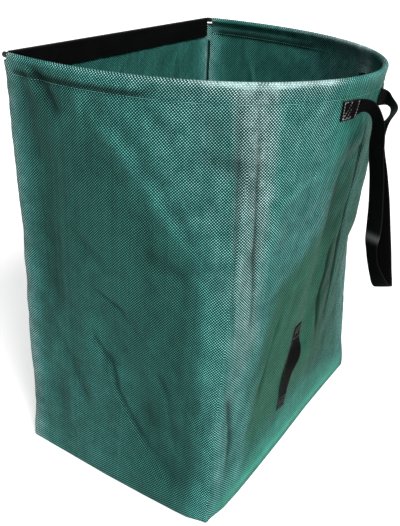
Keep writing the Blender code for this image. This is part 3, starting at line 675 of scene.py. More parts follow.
def make_base(material):
    """Base panel, and its flat size: a rumpled sheet whose edge turns up inside the walls' allowance."""
    stand = bottom_radius + fold_radius + cloth + clearance
    edge = [(stand, bottom_allowance + fold_radius), (stand + 0.0001, 0.009), (stand + 0.0002, 0.005),
            (stand + 0.0004, 0.0024), (stand + 0.0012, 0.0009)]

    def line(half_length, count):
        flat_end = half_length - stand - 0.0024
        low = [(-half_length + inset, z) for inset, z in edge]
        flat_part = [(value, cloth / 2) for value in np.linspace(-flat_end, flat_end, count + 1)]
        high = [(half_length - inset, z) for inset, z in reversed(edge)]
        return np.array(low + flat_part + high)

    half_width, half_depth = base_width / 2, base_depth / 2
    x_line = line(half_width, 70)
    y_line = line(half_depth, 106)
    x, y = np.meshgrid(x_line[:, 0], y_line[:, 0], indexing="ij")
    x_z, y_z = np.meshgrid(x_line[:, 1], y_line[:, 1], indexing="ij")
    inner = short_of(np.abs(x), half_width - 0.03, 0.06) * short_of(np.abs(y), half_depth - 0.03, 0.06)
    wave = 1.0 + np.sin(21.0 * x + 9.0 * y) * np.sin(16.0 * y - 5.0 * x + 1.0)
    z = np.maximum(x_z, y_z) + 0.0016 * wave * inner
    side_bulge = np.interp(y + half_depth + base_width, foot_s, foot_out) * smooth_step(x / half_width)
    front_bulge = np.interp(x + half_width, foot_s, foot_out) * smooth_step(-y / half_depth)
    middle = np.stack([x + side_bulge, y - front_bulge, z], axis=-1)
    mesh = shell("base_fabric", middle, outward_of(middle), np.stack([x, y], axis=-1), cloth)
    base = new_piece("base_fabric", mesh, material)
    return base, tuple(side - 2 * stand + 2 * bottom_allowance for side in (base_width, base_depth))


def make_corner_seam(name, at_s, material):
    """Seam allowance of two walls in a corner: a strip that stands inward from the fabric's inner face."""
    z = np.linspace(seam_low_z, seam_top_z, 126)
    out = np.linspace(0.0, 1.0, 6)
    place, normal = on_fabric(at_s, z)
    sway = 0.25 * np.sin(z * 31.0 + at_s * 7.0)
    sideways = np.stack([-normal[:, 1], normal[:, 0], 0.0 * z], axis=-1)
    direction = unit(-normal + sideways * sway[:, None])
    start = place - normal * (cloth + 0.0002)
    middle = start[None] + direction[None] * (out[:, None, None] * seam_allowance)
    flat = np.stack(np.meshgrid(out * seam_allowance, z, indexing="ij"), axis=-1)
    mesh = shell(name, middle, outward_of(middle), flat, 2 * cloth)
    return new_piece(name, mesh, material)


def spline_through(places, step):
    """Smooth line through given places (Catmull-Rom cubics), sampled evenly along its length."""
    padded = np.concatenate([[2 * places[0] - places[1]], places, [2 * places[-1] - places[-2]]])
    share = np.linspace(0.0, 1.0, 41)[:-1, None]
    dense = []
    for index in range(len(places) - 1):
        before, start, end, after = padded[index:index + 4]
        dense.append(0.5 * (2 * start + (end - before) * share
                            + (2 * before - 5 * start + 4 * end - after) * share ** 2
                            + (3 * start - before - 3 * end + after) * share ** 3))
    dense = np.concatenate(dense + [places[-1:]])
    lengths = lengths_along(dense)
    wanted = np.linspace(0.0, lengths[-1], round(lengths[-1] / step) + 1)
    return at_lengths(wanted, lengths, dense)


def eased_line(line):
    """A line with its kinks eased: each inner point becomes (before + 2 itself + after) / 4, six times."""
    eased = line.copy()
    for _ in range(6):
        eased[1:-1] = (eased[:-2] + 2.0 * eased[1:-1] + eased[2:]) / 4.0
    return eased


def strap(name, line, across, material, body="bag", sheen=0.0):
    """Webbing along a line: line + across * u, raised by crown (1 - (2u / width)^2), thinner at both edges.

    The last argument gives the painted grey highlight at each point of the line; the two edges get a little
    painted highlight all along.
    """
    share = np.sin(np.linspace(-1.0, 1.0, 15) * math.pi / 2)
    out = share * strap_width / 2
    level = line[:, None] + across[:, None] * out[None, :, None]
    middle = level + outward_of(level) * (strap_crown * (1.0 - share ** 2))[None, :, None]
    thickness = webbing * (0.30 + 0.70 * (1.0 - share ** 8))
    flat = np.stack(np.broadcast_arrays(out, lengths_along(line)[:, None]), axis=-1)
    sheen_share = np.clip(np.broadcast_to(sheen, len(line))[:, None] + 0.30 * share[None, :] ** 24, 0.0, 1.0)
    mesh = shell(name, middle, outward_of(middle), flat, thickness[None, :], marks={"PaintedSheen": sheen_share})
    return new_piece(name, mesh, material, body=body)


def handle_end_s(side):
    """Arc lengths where the sewn end of the carrying handle starts (its cut end) and where it lifts off."""
    middle = base_width + base_depth / 2
    table = middle + side * np.linspace(0.0, base_depth / 3, 200)
    lengths = lengths_along(on_fabric(table, handle_centre_z)[0])
    near = np.interp(handle_sewn_near, lengths, table)
    far = np.interp(handle_sewn_near + handle_sewn_length, lengths, table)
    return far, near


def handle_half_line(side):
    """Centre line and width directions of half the carrying handle, from its cut end to the loop's bottom.

    The width directions are shorter than one round the crest, where the webbing gathers.
    """
    sewn_s = np.linspace(*handle_end_s(side), 8)
    sewn, normal = on_fabric(sewn_s, handle_centre_z, webbing / 2 + touch_gap)
    upward = unit(np.cross(normal, unit(np.gradient(sewn, axis=0))))
    upward = upward * np.sign(upward[:, 2:])
    table = np.array(front_strap if side < 0 else rear_strap)
    turn, rise = np.radians(table[:, 3:].T)
    free = np.stack([np.cos(turn) * np.cos(rise), -np.sin(turn) * np.cos(rise), np.sin(rise)], axis=-1)
    narrowed = 1.0 - crest_narrowing * bell(table[:, 2:3] - narrowest_z, narrowed_reach)
    knots = np.concatenate([sewn, table[:, :3]])
    knot_across = np.concatenate([upward, free * narrowed])
    lengths = lengths_along(knots)
    line = spline_through(knots, strap_step)
    across = at_lengths(np.linspace(0.0, lengths[-1], len(line)), lengths, knot_across)
    sewn_count = round(handle_sewn_length / strap_step)
    line[sewn_count:] = eased_line(line[sewn_count:])
    return line, eased_line(across)


def make_carrying_handle(material):
    """The carrying handle as two straps that meet at the loop's bottom, each bending across its own crest."""
    for name, side, end_node, sheen_z, sheen_reach in (
            ("carrying_handle_front", -1, "top_handle_end_front", 0.449, 0.006),
            ("carrying_handle_rear", 1, "top_handle_end_rear", 0.634, 0.010)):
        line, across = handle_half_line(side)
        # Painted highlight on the front strap's twist and on the rear strap's bend.
        sheen = 0.9 * bell(line[:, 2] - sheen_z, sheen_reach)
        half = strap(name, line, across, material, body=None, sheen=sheen)
        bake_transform(half)
        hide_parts(end_node)
    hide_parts("top_handle_loop")


def tipping_line():
    """Centre line and width directions of the tipping handle, on the wall at its ends, bowed between them.

    The bow is sin^1.5(pi share^0.6) times its height and the sway towards the front sin(pi share) times its
    size. The width turns by exp(-((share - 0.25) / 0.25)^2) times the twist, less near both ends.
    """
    heights = np.linspace(tipping_top, tipping_bottom, 76)
    free_top = tipping_top - tipping_sewn_length
    free_bottom = tipping_bottom + tipping_sewn_length
    share = np.clip((free_top - heights) / (free_top - free_bottom), 0.0, 1.0)
    bow = tipping_bow * np.sin(math.pi * share ** 0.6) ** 1.5
    s = np.linspace(*tipping_s, 76) - tipping_sway * np.sin(math.pi * share)
    line, normal = on_fabric(s, heights, webbing / 2 + touch_gap + bow[:, None])
    level = unit(np.cross(unit(np.gradient(line, axis=0)), normal))
    turn = tipping_twist * bell(share - 0.25, 0.25) * past(share, 0.0, 0.15) * short_of(share, 1.0, 0.3)
    return line, level * np.cos(turn)[:, None] + normal * np.sin(turn)[:, None]


def make_lip_sleeve(material):
    """Black strip over the lip, and its flat size: a folded profile carried along it, slightly wavy."""
    lean = math.atan2(-lip_x - base_width / 2, bag_height - square_foot)
    outer = -clearance - webbing / 2
    inner = cloth + bar_thickness + 2 * clearance + webbing / 2 + sleeve_slack
    centre = (outer + inner) / 2
    radius = (inner - outer) / 2
    turn = np.linspace(0.0, math.pi, 13)
    leg_z = np.linspace(-sleeve_depth, -radius - webbing / 2, 13)[:-1]
    inset = np.concatenate([np.full(12, outer), centre - radius * np.cos(turn), np.full(12, inner)])
    height = np.concatenate([leg_z, -radius - webbing / 2 + radius * np.sin(turn), leg_z[::-1]])
    y = np.linspace(lip_length / 2 - lip_end_setback, -lip_length / 2 + lip_end_setback, 220)[:, None]
    wave = 0.0003 * np.sin(y * 55.0) + 0.0002 * np.sin(y * 141.0 + 1.0)
    leg_share = np.clip(-height / sleeve_depth, 0.0, 1.0)
    inset = inset + np.abs(wave) * (np.where(inset < centre, -1.0, 1.0) * leg_share)
    x = lip_x + inset * math.cos(lean) - height * math.sin(lean)
    z = bag_height + height * math.cos(lean)
    middle = np.stack(np.broadcast_arrays(x, y, z), axis=-1)
    along = lengths_along(middle[0])
    flat = np.stack(np.broadcast_arrays(along, y), axis=-1)
    # Painted grey highlight along the strip's top fold.
    sheen_share = np.broadcast_to(0.5 * bell(along - along[-1] / 2, 0.0016), x.shape)
    mesh = shell("lip_strip", middle, outward_of(middle), flat, webbing, marks={"PaintedSheen": sheen_share})
    return new_piece("lip_strip", mesh, material), (2 * sleeve_depth, 2 * y[0, 0])


def rings(side, over, sides, radius):
    """Circles round each point of a line: side cos(a) + over sin(a), times the radius, at even angles a."""
    angle = np.linspace(0.0, 2.0 * math.pi, sides, endpoint=False)
    across = side[:, None] * np.cos(angle)[None, :, None]
    return (across + over[:, None] * np.sin(angle)[None, :, None]) * radius


def make_rod(material):
    """Rod in the hem, under the outer face, with a straight piece into the cap at each end: a round tube."""
    first_s = hem_end_setback
    last_s = corner_s[3] - hem_end_setback
    s = np.linspace(first_s, last_s, round((last_s - first_s) / rod_step) + 1)
    place, normal = on_fabric(s, bag_height - rod_inset)
    line = place - unit(normal * np.array([1.0, 1.0, 0.0])) * rod_inset
    line[:, 2] = bag_height - rod_inset
    first_end = line[0] + unit(line[0] - line[1]) * cap_setback
    last_end = line[-1] + unit(line[-1] - line[-2]) * cap_setback
    line = np.concatenate([[first_end], line, [last_end]])
    ahead = unit(np.gradient(line, axis=0))
    side = unit(np.cross(ahead, np.array([0.0, 0.0, 1.0])))
    places = (line[:, None] + rings(side, np.cross(side, ahead), rod_sides, rod_radius)).reshape(-1, 3)
    places = np.concatenate([places, line[:1], line[-1:]])
    index = np.arange(len(line) * rod_sides).reshape(len(line), rod_sides)
    following = np.roll(index, -1, axis=1)
    quads = np.stack([index[:-1], index[1:], following[1:], following[:-1]], axis=-1).reshape(-1, 4)
    first = np.full(rod_sides, len(places) - 2)
    last = np.full(rod_sides, len(places) - 1)
    caps = [np.stack(corners, axis=-1) for corners in ((index[0], following[0], first),
                                                       (following[-1], index[-1], last))]
    mesh = bpy.data.meshes.new("hem_rod")
    fill_mesh(mesh, places, np.concatenate([quads[:, [0, 1, 2]], quads[:, [0, 2, 3]], *caps]))
    return new_piece("hem_rod", mesh, material)


def stitches(name, runs, material, dash=0.0034, pitch=0.0048, radius=0.00035):
    """Thread along sewn lines: at each even step a spindle of two five-sided rings between two points.

    Each run is (points on the seam, outward normals there), with the thread half sunk in the cloth.
    """
    found = []
    for places, normals in runs:
        lengths = lengths_along(places)
        at = np.arange(pitch / 2, lengths[-1], pitch)
        before, centre, after = (at_lengths(at + off, lengths, places) for off in (-dash / 2, 0.0, dash / 2))
        found.append((centre, unit(after - before + 1e-9), at_lengths(at, lengths, normals)))
    centre, ahead, out = (np.concatenate(parts) for parts in zip(*found))
    out = unit(out)
    ring = rings(unit(np.cross(ahead, out)), out, 5, radius)
    centre, ahead, out = centre[:, None], ahead[:, None], out[:, None]
    shift = ahead * (0.28 * dash)
    crease_shading = out * (0.6 * radius)
    places = np.concatenate([centre - ahead * dash / 2 - crease_shading, centre - shift + ring, centre + shift + ring,
                             centre + ahead * dash / 2 - crease_shading], axis=1)
    faces = []
    for step in range(5):
        following = (step + 1) % 5
        faces += [(0, 1 + following, 1 + step), (1 + step, 1 + following, 6 + following),
                  (1 + step, 6 + following, 6 + step), (11, 6 + step, 6 + following)]
    faces = np.array(faces)[None] + 12 * np.arange(len(centre))[:, None, None]
    mesh = bpy.data.meshes.new(name)
    fill_mesh(mesh, places.reshape(-1, 3), faces.reshape(-1, 3))
    return new_piece(name, mesh, material)


def new_group(name, inputs, outputs):
    """An empty shader node group, its inputs as values, and the slots of its outputs."""
    group = bpy.data.node_groups.new(name, "ShaderNodeTree")
    for label in inputs:
        kind = "NodeSocketVector" if label in ("Cloth", "Place") else "NodeSocketFloat"
        group.interface.new_socket(label, in_out="INPUT", socket_type=kind)
    for label in outputs:
        group.interface.new_socket(label, in_out="OUTPUT", socket_type="NodeSocketFloat")
    entry = group.nodes.new("NodeGroupInput")
    return group, [Value(entry, label) for label in inputs], group.nodes.new("NodeGroupOutput").inputs


class Value:
    """A node's output for use in formulas: each sum, product and the like makes a Math node in its tree."""

    def __init__(self, node, output=0):
        self.tree = node.id_data
        self.socket = node.outputs[output]

    def math(self, operation, *others):
        """The output of a Math node whose inputs are this value and the others."""
        return Value(add_node(self.tree, "Math", dict(enumerate((self, *others))), operation=operation))

    def clamped(self):
        """This value, the output of a Math node, held between 0 and 1."""
        self.socket.node.use_clamp = True
        return self

    def __add__(self, other):
        return self.math("ADD", other)

    def __sub__(self, other):
        return self.math("SUBTRACT", other)

    def __rsub__(self, other):
        return Value(add_node(self.tree, "Math", {0: other, 1: self}, operation="SUBTRACT"))

    def __mul__(self, other):
        return self.math("MULTIPLY", other)

    def __truediv__(self, other):
        return self.math("DIVIDE", other)

    def __pow__(self, other):
        return self.math("POWER", other)

    def __abs__(self):
        return self.math("ABSOLUTE")


def feed(slot, value):
    """Set a node's input to a number or a colour, or link it to a value."""
    if isinstance(value, Value):
        value.tree.links.new(value.socket, slot)
    elif isinstance(value, tuple):
        slot.default_value = (*value, 1.0)
    else:
        slot.default_value = value


def add_node(tree, kind, inputs=None, **settings):
    """A new shader node with its settings, and what its inputs are set to or linked with."""
    node = tree.nodes.new("ShaderNode" + kind)
    for label, setting in settings.items():
        setattr(node, label, setting)
    for label, value in (inputs or {}).items():
        feed(node.inputs[label], value)
    return node


def noise_at(tree, place, scale, detail=2.0):
    """Noise at each place."""
    return Value(add_node(tree, "TexNoise", {"Vector": place, "Scale": scale, "Detail": detail}))


def plain_weave_group():
    """Plain weave of flat tapes: which tape is on top, its rounded height and each tape's own tone."""
    group, (cloth_map, width), slots = new_group(
        "plain_weave", ("Cloth", "Tape Width"), ("Upright On Top", "Height", "Tape Tone"))
    split = add_node(group, "SeparateXYZ", {0: cloth_map})
    numbers, humps, edges, tones = [], [], [], []
    for axis in (0, 1):
        cell = Value(split, axis) / width
        within = cell.math("FRACT") - 0.5
        numbers.append(cell.math("FLOOR"))
        humps.append((within * math.pi).math("COSINE"))
        edges.append(1.0 - (abs(within) * 2.0) ** 5.0)
        own = {"W": numbers[axis] + 400.5 * (axis + 1)}
        tones.append(Value(add_node(group, "TexWhiteNoise", own, noise_dimensions="1D"), "Value"))
    upright = (numbers[0] + numbers[1]).math("PINGPONG", 1.0)
    level = 1.0 - upright
    feed(slots["Upright On Top"], upright)
    feed(slots["Height"], humps[1] * edges[0] * upright + humps[0] * edges[1] * level)
    feed(slots["Tape Tone"], tones[0] * upright + tones[1] * level)
    return group


def cloudy_group():
    """Soft cloudy variation, as from handling and dust: two sizes of noise added and stretched."""
    group, (place, scale), slots = new_group("cloudy", ("Place", "Scale"), ("Cloud",))
    broad, fine = (noise_at(group, place, scale * factor, 3.0) for factor in (1.0, 4.3))
    feed(slots["Cloud"], ((broad * 0.65 + fine * 0.35) * 2.6 - 0.8).clamped())
    return group


def wrinkle_group():
    """Fine wrinkles of limp cloth: ridged noise stretched along its lean, right or, where Lean is 1, left."""
    group, (cloth_map, lean), slots = new_group("fine_wrinkles", ("Cloth", "Lean"), ("Height",))
    ridges = []
    for degrees in (-30.0, 20.0):
        turned = add_node(group, "VectorRotate", {"Vector": cloth_map, "Angle": math.radians(degrees)},
                          rotation_type="Z_AXIS")
        stretched = add_node(group, "VectorMath", {0: Value(turned)}, operation="MULTIPLY")
        stretched.inputs[1].default_value = (1.0, 0.25, 1.0)
        ridges.append(abs(noise_at(group, Value(stretched), 70.0) * 4.0 - 2.0) ** 0.8)
    feed(slots["Height"], ridges[0] * (1.0 - lean) + ridges[1] * lean)
    return group


def webbing_group():
    """Herringbone webbing: rows of slanted ribs that turn back at each of a few columns along the strap."""
    group, (cloth_map, rib, column), slots = new_group("herringbone", ("Cloth", "Rib", "Column"), ("Height",))
    split = add_node(group, "SeparateXYZ", {0: cloth_map})
    slant = Value(split, 0).math("PINGPONG", column)
    ribs = abs(((Value(split, 1) + slant) / rib * math.pi).math("SINE"))
    edge = abs(slant / column * 2.0 - 1.0) ** 8.0
    feed(slots["Height"], ribs - edge * 0.5)
    return group


def new_material(name, specular=0.5):
    """A material, its node tree and the inputs of its Principled shader."""
    material = bpy.data.materials.new(name)
    material.use_nodes = True
    slots = material.node_tree.nodes["Principled BSDF"].inputs
    slots["Specular IOR Level"].default_value = specular
    return material, material.node_tree, slots


def mixed_colour(tree, share, first, second, blend="MIX"):
    """Two colours mixed by a share, or blended another way. Each is three numbers or a value."""
    node = add_node(tree, "Mix", {"Factor": share}, data_type="RGBA", blend_type=blend, clamp_factor=True)
    feed(node.inputs[6], first)
    feed(node.inputs[7], second)
    return Value(node, 2)


def object_place(tree):
    """Place in the object's own axes."""
    return Value(add_node(tree, "TexCoord"), "Object")


def cloud_at(tree, cloudy, scale):
    """Cloudy variation at each place, finer at a larger scale."""
    place = {"Place": object_place(tree), "Scale": scale}
    return Value(add_node(tree, "Group", place, node_tree=cloudy))


def cloth_place(tree):
    """Place on the uncut cloth, in metres."""
    return Value(add_node(tree, "UVMap", uv_map="Cloth"))


def add_bump(slots, height, distance, strength):
    """A Bump node from a height to the shader's normal."""
    bump = add_node(height.tree, "Bump", {"Strength": strength, "Distance": distance, "Height": height})
    feed(slots["Normal"], Value(bump))


def mark_on(tree, label):
    """The value of one of the cloth's marks at each place."""
    return Value(add_node(tree, "Attribute", attribute_name=label), "Fac")


def woven_material(name, colours, weave, cloudy, wrinkles):
    """Plastic tapes in plain weave, one teal painted lit and shaded: the upright floats pale and the level
    ones dark, with painted highlights on their crowns where the painted shine is high and painted shade in
    the gaps.

    Folds get painted shade and ridges painted highlight. Painted olive light and the band lean to olive and
    to bright teal, both with less contrast. Painted glare, where the painted shine is highest, pales the dark
    tapes and gaps too, a painted green cast lies on the handle side where the painted shine is low, and
    clouds and fine wrinkles vary it all.
    """
    material, tree, slots = new_material(name, specular=0.12)
    cloth_map = cloth_place(tree)
    woven = add_node(tree, "Group", {"Cloth": cloth_map, "Tape Width": tape_width}, node_tree=weave)
    raised, height, own_tone = (Value(woven, label) for label in ("Upright On Top", "Height", "Tape Tone"))
    cloud = cloud_at(tree, cloudy, 7.0)
    mottle = cloud_at(tree, cloudy, 42.0)
    hollow, shine, olive_light, band, lean = (mark_on(tree, label) for label in mark_labels)
    wrinkle = Value(add_node(tree, "Group", {"Cloth": cloth_map, "Lean": lean}, node_tree=wrinkles))
    shine = shine * (cloud * 0.5 + 0.4 + mottle * 0.6)
    # Painted glare where the painted shine passes 1, paling the dark tapes and the gaps.
    glare = (shine - 1.0).clamped()

    # Painted highlight: by the painted shine the upright tapes pale to bright teal and, on their crowns, to
    # near white.
    lit = (shine * 2.5 + 0.20) * height ** 1.8
    pale = mixed_colour(tree, lit, colours["pale tape"], colours["bright tape"])
    pale = mixed_colour(tree, (lit - 0.90).clamped(), pale, colours["crown"])
    pale = mixed_colour(tree, olive_light * 0.85, pale, colours["olive-lit pale tape"])
    pale = mixed_colour(tree, band, pale, colours["band pale tape"])
    dark = mixed_colour(tree, olive_light, colours["dark tape"], colours["olive-lit dark tape"])
    dark = mixed_colour(tree, glare * 0.6, dark, colours["crown"])
    dark = mixed_colour(tree, band, dark, colours["band dark tape"])
    # Painted shade in the gaps between the tapes, less in the band and under painted glare.
    opening = (height * -2.0 + 1.25).clamped() * (band * -0.45 + 0.92) * (glare * -0.8 + 1.0)
    colour = mixed_colour(tree, opening, mixed_colour(tree, raised, dark, pale), colours["gap"])

    # Painted shade in creases and the hem's hollow, and painted highlight on ridges, from the depth in
    # Hollow.
    crease_shading = (hollow * -100.0).math("MAXIMUM", -0.72).math("MINIMUM", 0.22)
    tone = (own_tone * 0.20 + 0.90) * (cloud * 0.16 + 0.92) * (mottle * 0.34 + 0.83) * (crease_shading + 1.0)
    # Painted green cast on the handle side where the painted shine is low.
    green_cast = lean * (shine * -3.0 + 1.0).clamped()
    channels = {channel: tone * (green_cast * greener + 1.0) for channel, greener in enumerate((-0.26, 0.0, -0.12))}
    shade = Value(add_node(tree, "CombineColor", channels))
    feed(slots["Base Color"], mixed_colour(tree, 1.0, colour, shade, "MULTIPLY"))
    feed(slots["Roughness"], shine * -0.16 + (cloud * 0.10 + 0.42) + (raised * -0.25 + 0.25))
    add_bump(slots, wrinkle * 2.4 + height, distance=0.0005, strength=0.6)
    return material


def webbing_material(name, colour, rib_colour, sheen_colour, herringbone, cloudy):
    """Matt black webbing with herringbone ribs, its raised ribs a little paler and painted grey highlights
    where marked.
    """
    material, tree, slots = new_material(name, specular=0.05)
    weave = {"Cloth": cloth_place(tree), "Rib": 0.0018, "Column": 0.0050}
    ribs = Value(add_node(tree, "Group", weave, node_tree=herringbone))
    cloud = cloud_at(tree, cloudy, 22.0)
    black = mixed_colour(tree, (ribs * (cloud * 0.8 + 0.2)).clamped(), colour, rib_colour)
    # Painted grey highlight on the straps' edges and bends and on the lip strip's top fold.
    sheen = mark_on(tree, "PaintedSheen") * (ribs * 0.6 + 0.4)
    feed(slots["Base Color"], mixed_colour(tree, sheen, black, sheen_colour))
    feed(slots["Roughness"], cloud * 0.2 + 0.6)
    add_bump(slots, ribs, distance=0.0003, strength=0.6)
    return material


def thread_material(name, colour, dusty_colour, cloudy):
    """Twisted thread: slanted plies as a bump and uneven colour along it."""
    material, tree, slots = new_material(name)
    feed(slots["Base Color"], mixed_colour(tree, cloud_at(tree, cloudy, 90.0), colour, dusty_colour))
    feed(slots["Roughness"], 0.7)
    place = {"Vector": object_place(tree), "Scale": 900.0}
    plies = Value(add_node(tree, "TexWave", place, bands_direction="DIAGONAL"), "Fac")
    add_bump(slots, plies, distance=0.0001, strength=0.5)
    return material


def plastic_material(name, colour, scuffed_colour, cloudy):
    """Moulded or drawn black plastic: a fine grain and pale scuffs."""
    material, tree, slots = new_material(name)
    cloud = cloud_at(tree, cloudy, 60.0)
    feed(slots["Base Color"], mixed_colour(tree, cloud ** 3.0 * 0.6, colour, scuffed_colour))
    feed(slots["Roughness"], cloud * 0.25 + 0.32)
    add_bump(slots, noise_at(tree, object_place(tree), 1400.0), distance=0.0001, strength=0.25)
    return material


def make_camera():
    """The photograph's camera: forward from yaw and pitch, right level to it, both turned by the roll."""
    forward = Vector((-math.sin(camera_yaw) * math.cos(camera_pitch),
                      math.cos(camera_yaw) * math.cos(camera_pitch), -math.sin(camera_pitch)))
    right = Vector((math.cos(camera_yaw), math.sin(camera_yaw), 0.0))
    upward = right.cross(forward)
    rolled_right = right * math.cos(camera_roll) + upward * math.sin(camera_roll)
    rolled_up = upward * math.cos(camera_roll) - right * math.sin(camera_roll)
    data = bpy.data.cameras.new("photo_camera")
    data.sensor_width = 36.0
    data.lens = data.sensor_width * focal_pixels / picture_height
    camera = bpy.data.objects.new("photo_camera", data)
    camera.matrix_world = Matrix((rolled_right, rolled_up, -forward)).transposed().to_4x4()
    camera.location = camera_place
    bpy.context.scene.collection.objects.link(camera)
    bpy.context.scene.camera = camera


def make_sun(name, azimuth, elevation, strength, soft_angle, colour):
    """A soft sun. Azimuth 0 shines from the front (-Y) and 90 from the right (+X), in degrees."""
    data = bpy.data.lights.new(name, "SUN")
    data.energy = strength
    data.angle = math.radians(soft_angle)
    data.color = colour
    sun = bpy.data.objects.new(name, data)
    turn = math.radians(azimuth)
    height = math.radians(elevation)
    source = Vector((math.sin(turn) * math.cos(height), -math.cos(turn) * math.cos(height), math.sin(height)))
    sun.rotation_mode = "QUATERNION"
    sun.rotation_quaternion = source.to_track_quat("Z", "Y")
    bpy.context.scene.collection.objects.link(sun)


def make_world(seen, lighting):
    """White to the camera, and softer and slightly blue as light on the object."""
    world = bpy.data.worlds.new("studio")
    bpy.context.scene.world = world
    world.use_nodes = True
    tree = world.node_tree
    tree.nodes.clear()
    soft = add_node(tree, "Background", {"Color": (0.97, 0.99, 1.0), "Strength": lighting})
    direct = add_node(tree, "Background", {"Color": (1.0, 1.0, 1.0), "Strength": seen})
    to_camera = Value(add_node(tree, "LightPath"), "Is Camera Ray")
    mix = add_node(tree, "MixShader", {0: to_camera, 1: Value(soft), 2: Value(direct)})
    add_node(tree, "OutputWorld", {0: Value(mix)})


def make_floor():
    """A wide pale floor that keeps the bag's shadow and is lifted to white where the camera sees it lit."""
    half = 30.0
    mesh = bpy.data.meshes.new("floor")
    corners = np.array([(-half, -half, 0.0), (half, -half, 0.0), (half, half, 0.0), (-half, half, 0.0)])
    fill_mesh(mesh, corners, np.array([[0, 1, 2, 3]]))
    material, tree, slots = new_material("pale_floor", specular=0.0)
    feed(slots["Base Color"], (0.86, 0.86, 0.86))
    feed(slots["Roughness"], 0.9)
    feed(slots["Emission Color"], (1.0, 1.0, 1.0))
    feed(slots["Emission Strength"], Value(add_node(tree, "LightPath"), "Is Camera Ray") * 0.60)
    mesh.materials.append(material)
    floor = bpy.data.objects.new("floor", mesh)
    bpy.context.scene.collection.objects.link(floor)


def box_stitches(line, across, start, end, lift):
    """Sewn box filled with slanted rows on a strap, between two lengths along it and lifted towards +X."""
    lengths = lengths_along(line)
    normal = outward_of(np.stack([line - across, line + across], axis=1))[:, 0]
    margin = 0.0028
    half = strap_width / 2 - margin
    first, last = start + margin, end - margin
    quarter = (last - first) / 4
    corners = ((first, -half), (last, -half), (last, half), (first, half), (first, -half))
    ways = list(zip(corners[:-1], corners[1:]))
    ways += [((first + step * quarter, -half), (first + (step + 2) * quarter, half)) for step in range(3)]
    runs = []
    for (first_along, first_out), (last_along, last_out) in ways:
        along = np.linspace(first_along, last_along, 12)
        out = np.linspace(first_out, last_out, 12)[:, None]
        point, direction, face = (at_lengths(along, lengths, values) for values in (line, across, normal))
        face = unit(face)
        face = face * np.sign(face[:, :1])
        runs.append((point + direction * out + face * lift, face))
    return runs


def repaint(node, material):
    """Give a frame node that stays in view a finished material."""
    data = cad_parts[node].data
    data.materials.clear()
    data.materials.append(material)


def make_materials():
    """Every material, under the name of what wears it."""
    weave = plain_weave_group()
    cloudy = cloudy_group()
    # One teal tape painted lit and shaded: the pale, bright and crown colours are painted sheen and highlight
    # on the upright floats, the dark tape is the level floats painted shaded, the gap is painted shade
    # between the tapes, the two olive colours are painted olive light, and the two band colours a brighter
    # teal.
    colours = {
        "pale tape": (0.043, 0.222, 0.186), "bright tape": (0.190, 0.780, 0.730),
        "crown": (0.740, 0.980, 1.000), "dark tape": (0.002, 0.022, 0.018),
        "olive-lit pale tape": (0.060, 0.235, 0.165), "olive-lit dark tape": (0.016, 0.090, 0.062),
        "band pale tape": (0.120, 0.410, 0.370), "band dark tape": (0.030, 0.210, 0.175),
        "gap": (0.0005, 0.006, 0.005)}
    return {
        "fabric": woven_material("teal_woven_tape", colours, weave, cloudy, wrinkle_group()),
        # The last of the webbing's colours is its painted grey highlight.
        "webbing": webbing_material("black_webbing", (0.0012, 0.0012, 0.0014), (0.0060, 0.0060, 0.0066),
                                    (0.20, 0.20, 0.205), webbing_group(), cloudy),
        "hem thread": thread_material("teal_thread", (0.10, 0.36, 0.31), (0.20, 0.50, 0.44), cloudy),
        "carrying thread": thread_material("grey_thread", (0.22, 0.22, 0.22), (0.55, 0.55, 0.54), cloudy),
        "tipping thread": thread_material("dark_thread", (0.02, 0.02, 0.02), (0.12, 0.12, 0.12), cloudy),
        "rod": plastic_material("rod_plastic", (0.020, 0.020, 0.022), (0.07, 0.07, 0.07), cloudy),
        "cap": plastic_material("cap_plastic", (0.010, 0.010, 0.011), (0.06, 0.06, 0.06), cloudy)}


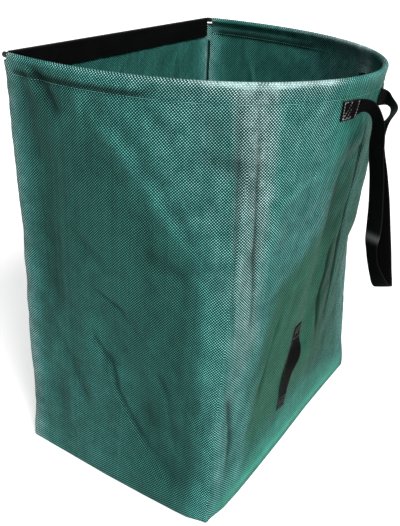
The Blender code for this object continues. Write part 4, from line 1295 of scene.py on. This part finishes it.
def make_stitching(materials):
    """Thread of the hem, outside and inside, and of the boxes on both handles' ends. Gives the hem's."""
    s = np.linspace(hem_stitch_setback, corner_s[3] - hem_stitch_setback, 500)
    places, normals = on_fabric(s, hem_stitch_z)
    inner_places = places - normals * (2.5 * cloth + clearance + touch_gap)
    runs = [(places, normals), (inner_places, -normals)]
    hem_thread = stitches("hem_stitching", runs, materials["hem thread"])
    runs = []
    for side in (-1, 1):
        runs += box_stitches(*handle_half_line(side), 0.0, handle_sewn_length, webbing / 2 + 0.0008)
    thread = materials["carrying thread"]
    stitches("carrying_stitching", runs, thread, dash=0.0036, pitch=0.0042, radius=0.0006)
    line, across = tipping_line()
    total = lengths_along(line)[-1]
    runs = []
    for start, end in ((0.0, tipping_sewn_length), (total - tipping_sewn_length, total)):
        runs += box_stitches(line, across, start, end, webbing / 2 + 0.0003)
    thread = materials["tipping thread"]
    stitches("tipping_stitching", runs, thread, dash=0.0030, pitch=0.0036, radius=0.0005)
    return hem_thread


def build():
    """Make every piece, then the stage, the lights and the camera."""
    make_camera()
    materials = make_materials()
    walls = {}
    nodes = ("front_wall", "handle_side_wall", "back_wall", "lip_side_wall")
    for node, first_s, last_s in zip(nodes, corner_s[:-1], corner_s[1:]):
        name = node.replace("_wall", "_fabric")
        wall, flat_size = make_wall(name, first_s, last_s, materials["fabric"])
        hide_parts(node)
        walls[name] = (wall, flat_size)
    base, base_size = make_base(materials["fabric"])
    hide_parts("base_panel")
    seams = [make_corner_seam("corner_seam_" + label, at_s, materials["fabric"])
             for label, at_s in zip(("front_lip", "front_handle", "back_handle", "back_lip"), corner_s)]
    rod = make_rod(materials["rod"])
    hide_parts("hoop_rod")
    for node in ("rod_cap_front", "rod_cap_rear"):
        repaint(node, materials["cap"])
    repaint("lip_bar", materials["rod"])
    sleeve, sleeve_size = make_lip_sleeve(materials["webbing"])
    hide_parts("lip_sleeve")
    make_carrying_handle(materials["webbing"])
    tipping = strap("tipping_handle", *tipping_line(), materials["webbing"])
    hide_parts("lower_handle")
    hem_thread = make_stitching(materials)

    for name, (wall, flat_size) in walls.items():
        with_pieces = [hem_thread] if name == "front_fabric" else []
        rests_on = ["lip_bar"] if name == "lip_side_fabric" else ["hem_rod"]

    make_floor()
    make_world(seen=1.0, lighting=0.26)
    make_sun("key_light", azimuth=60.0, elevation=42.0, strength=3.2, soft_angle=20.0,
             colour=(1.0, 0.99, 0.96))
    bpy.context.scene.view_settings.view_transform = "Standard"


build()
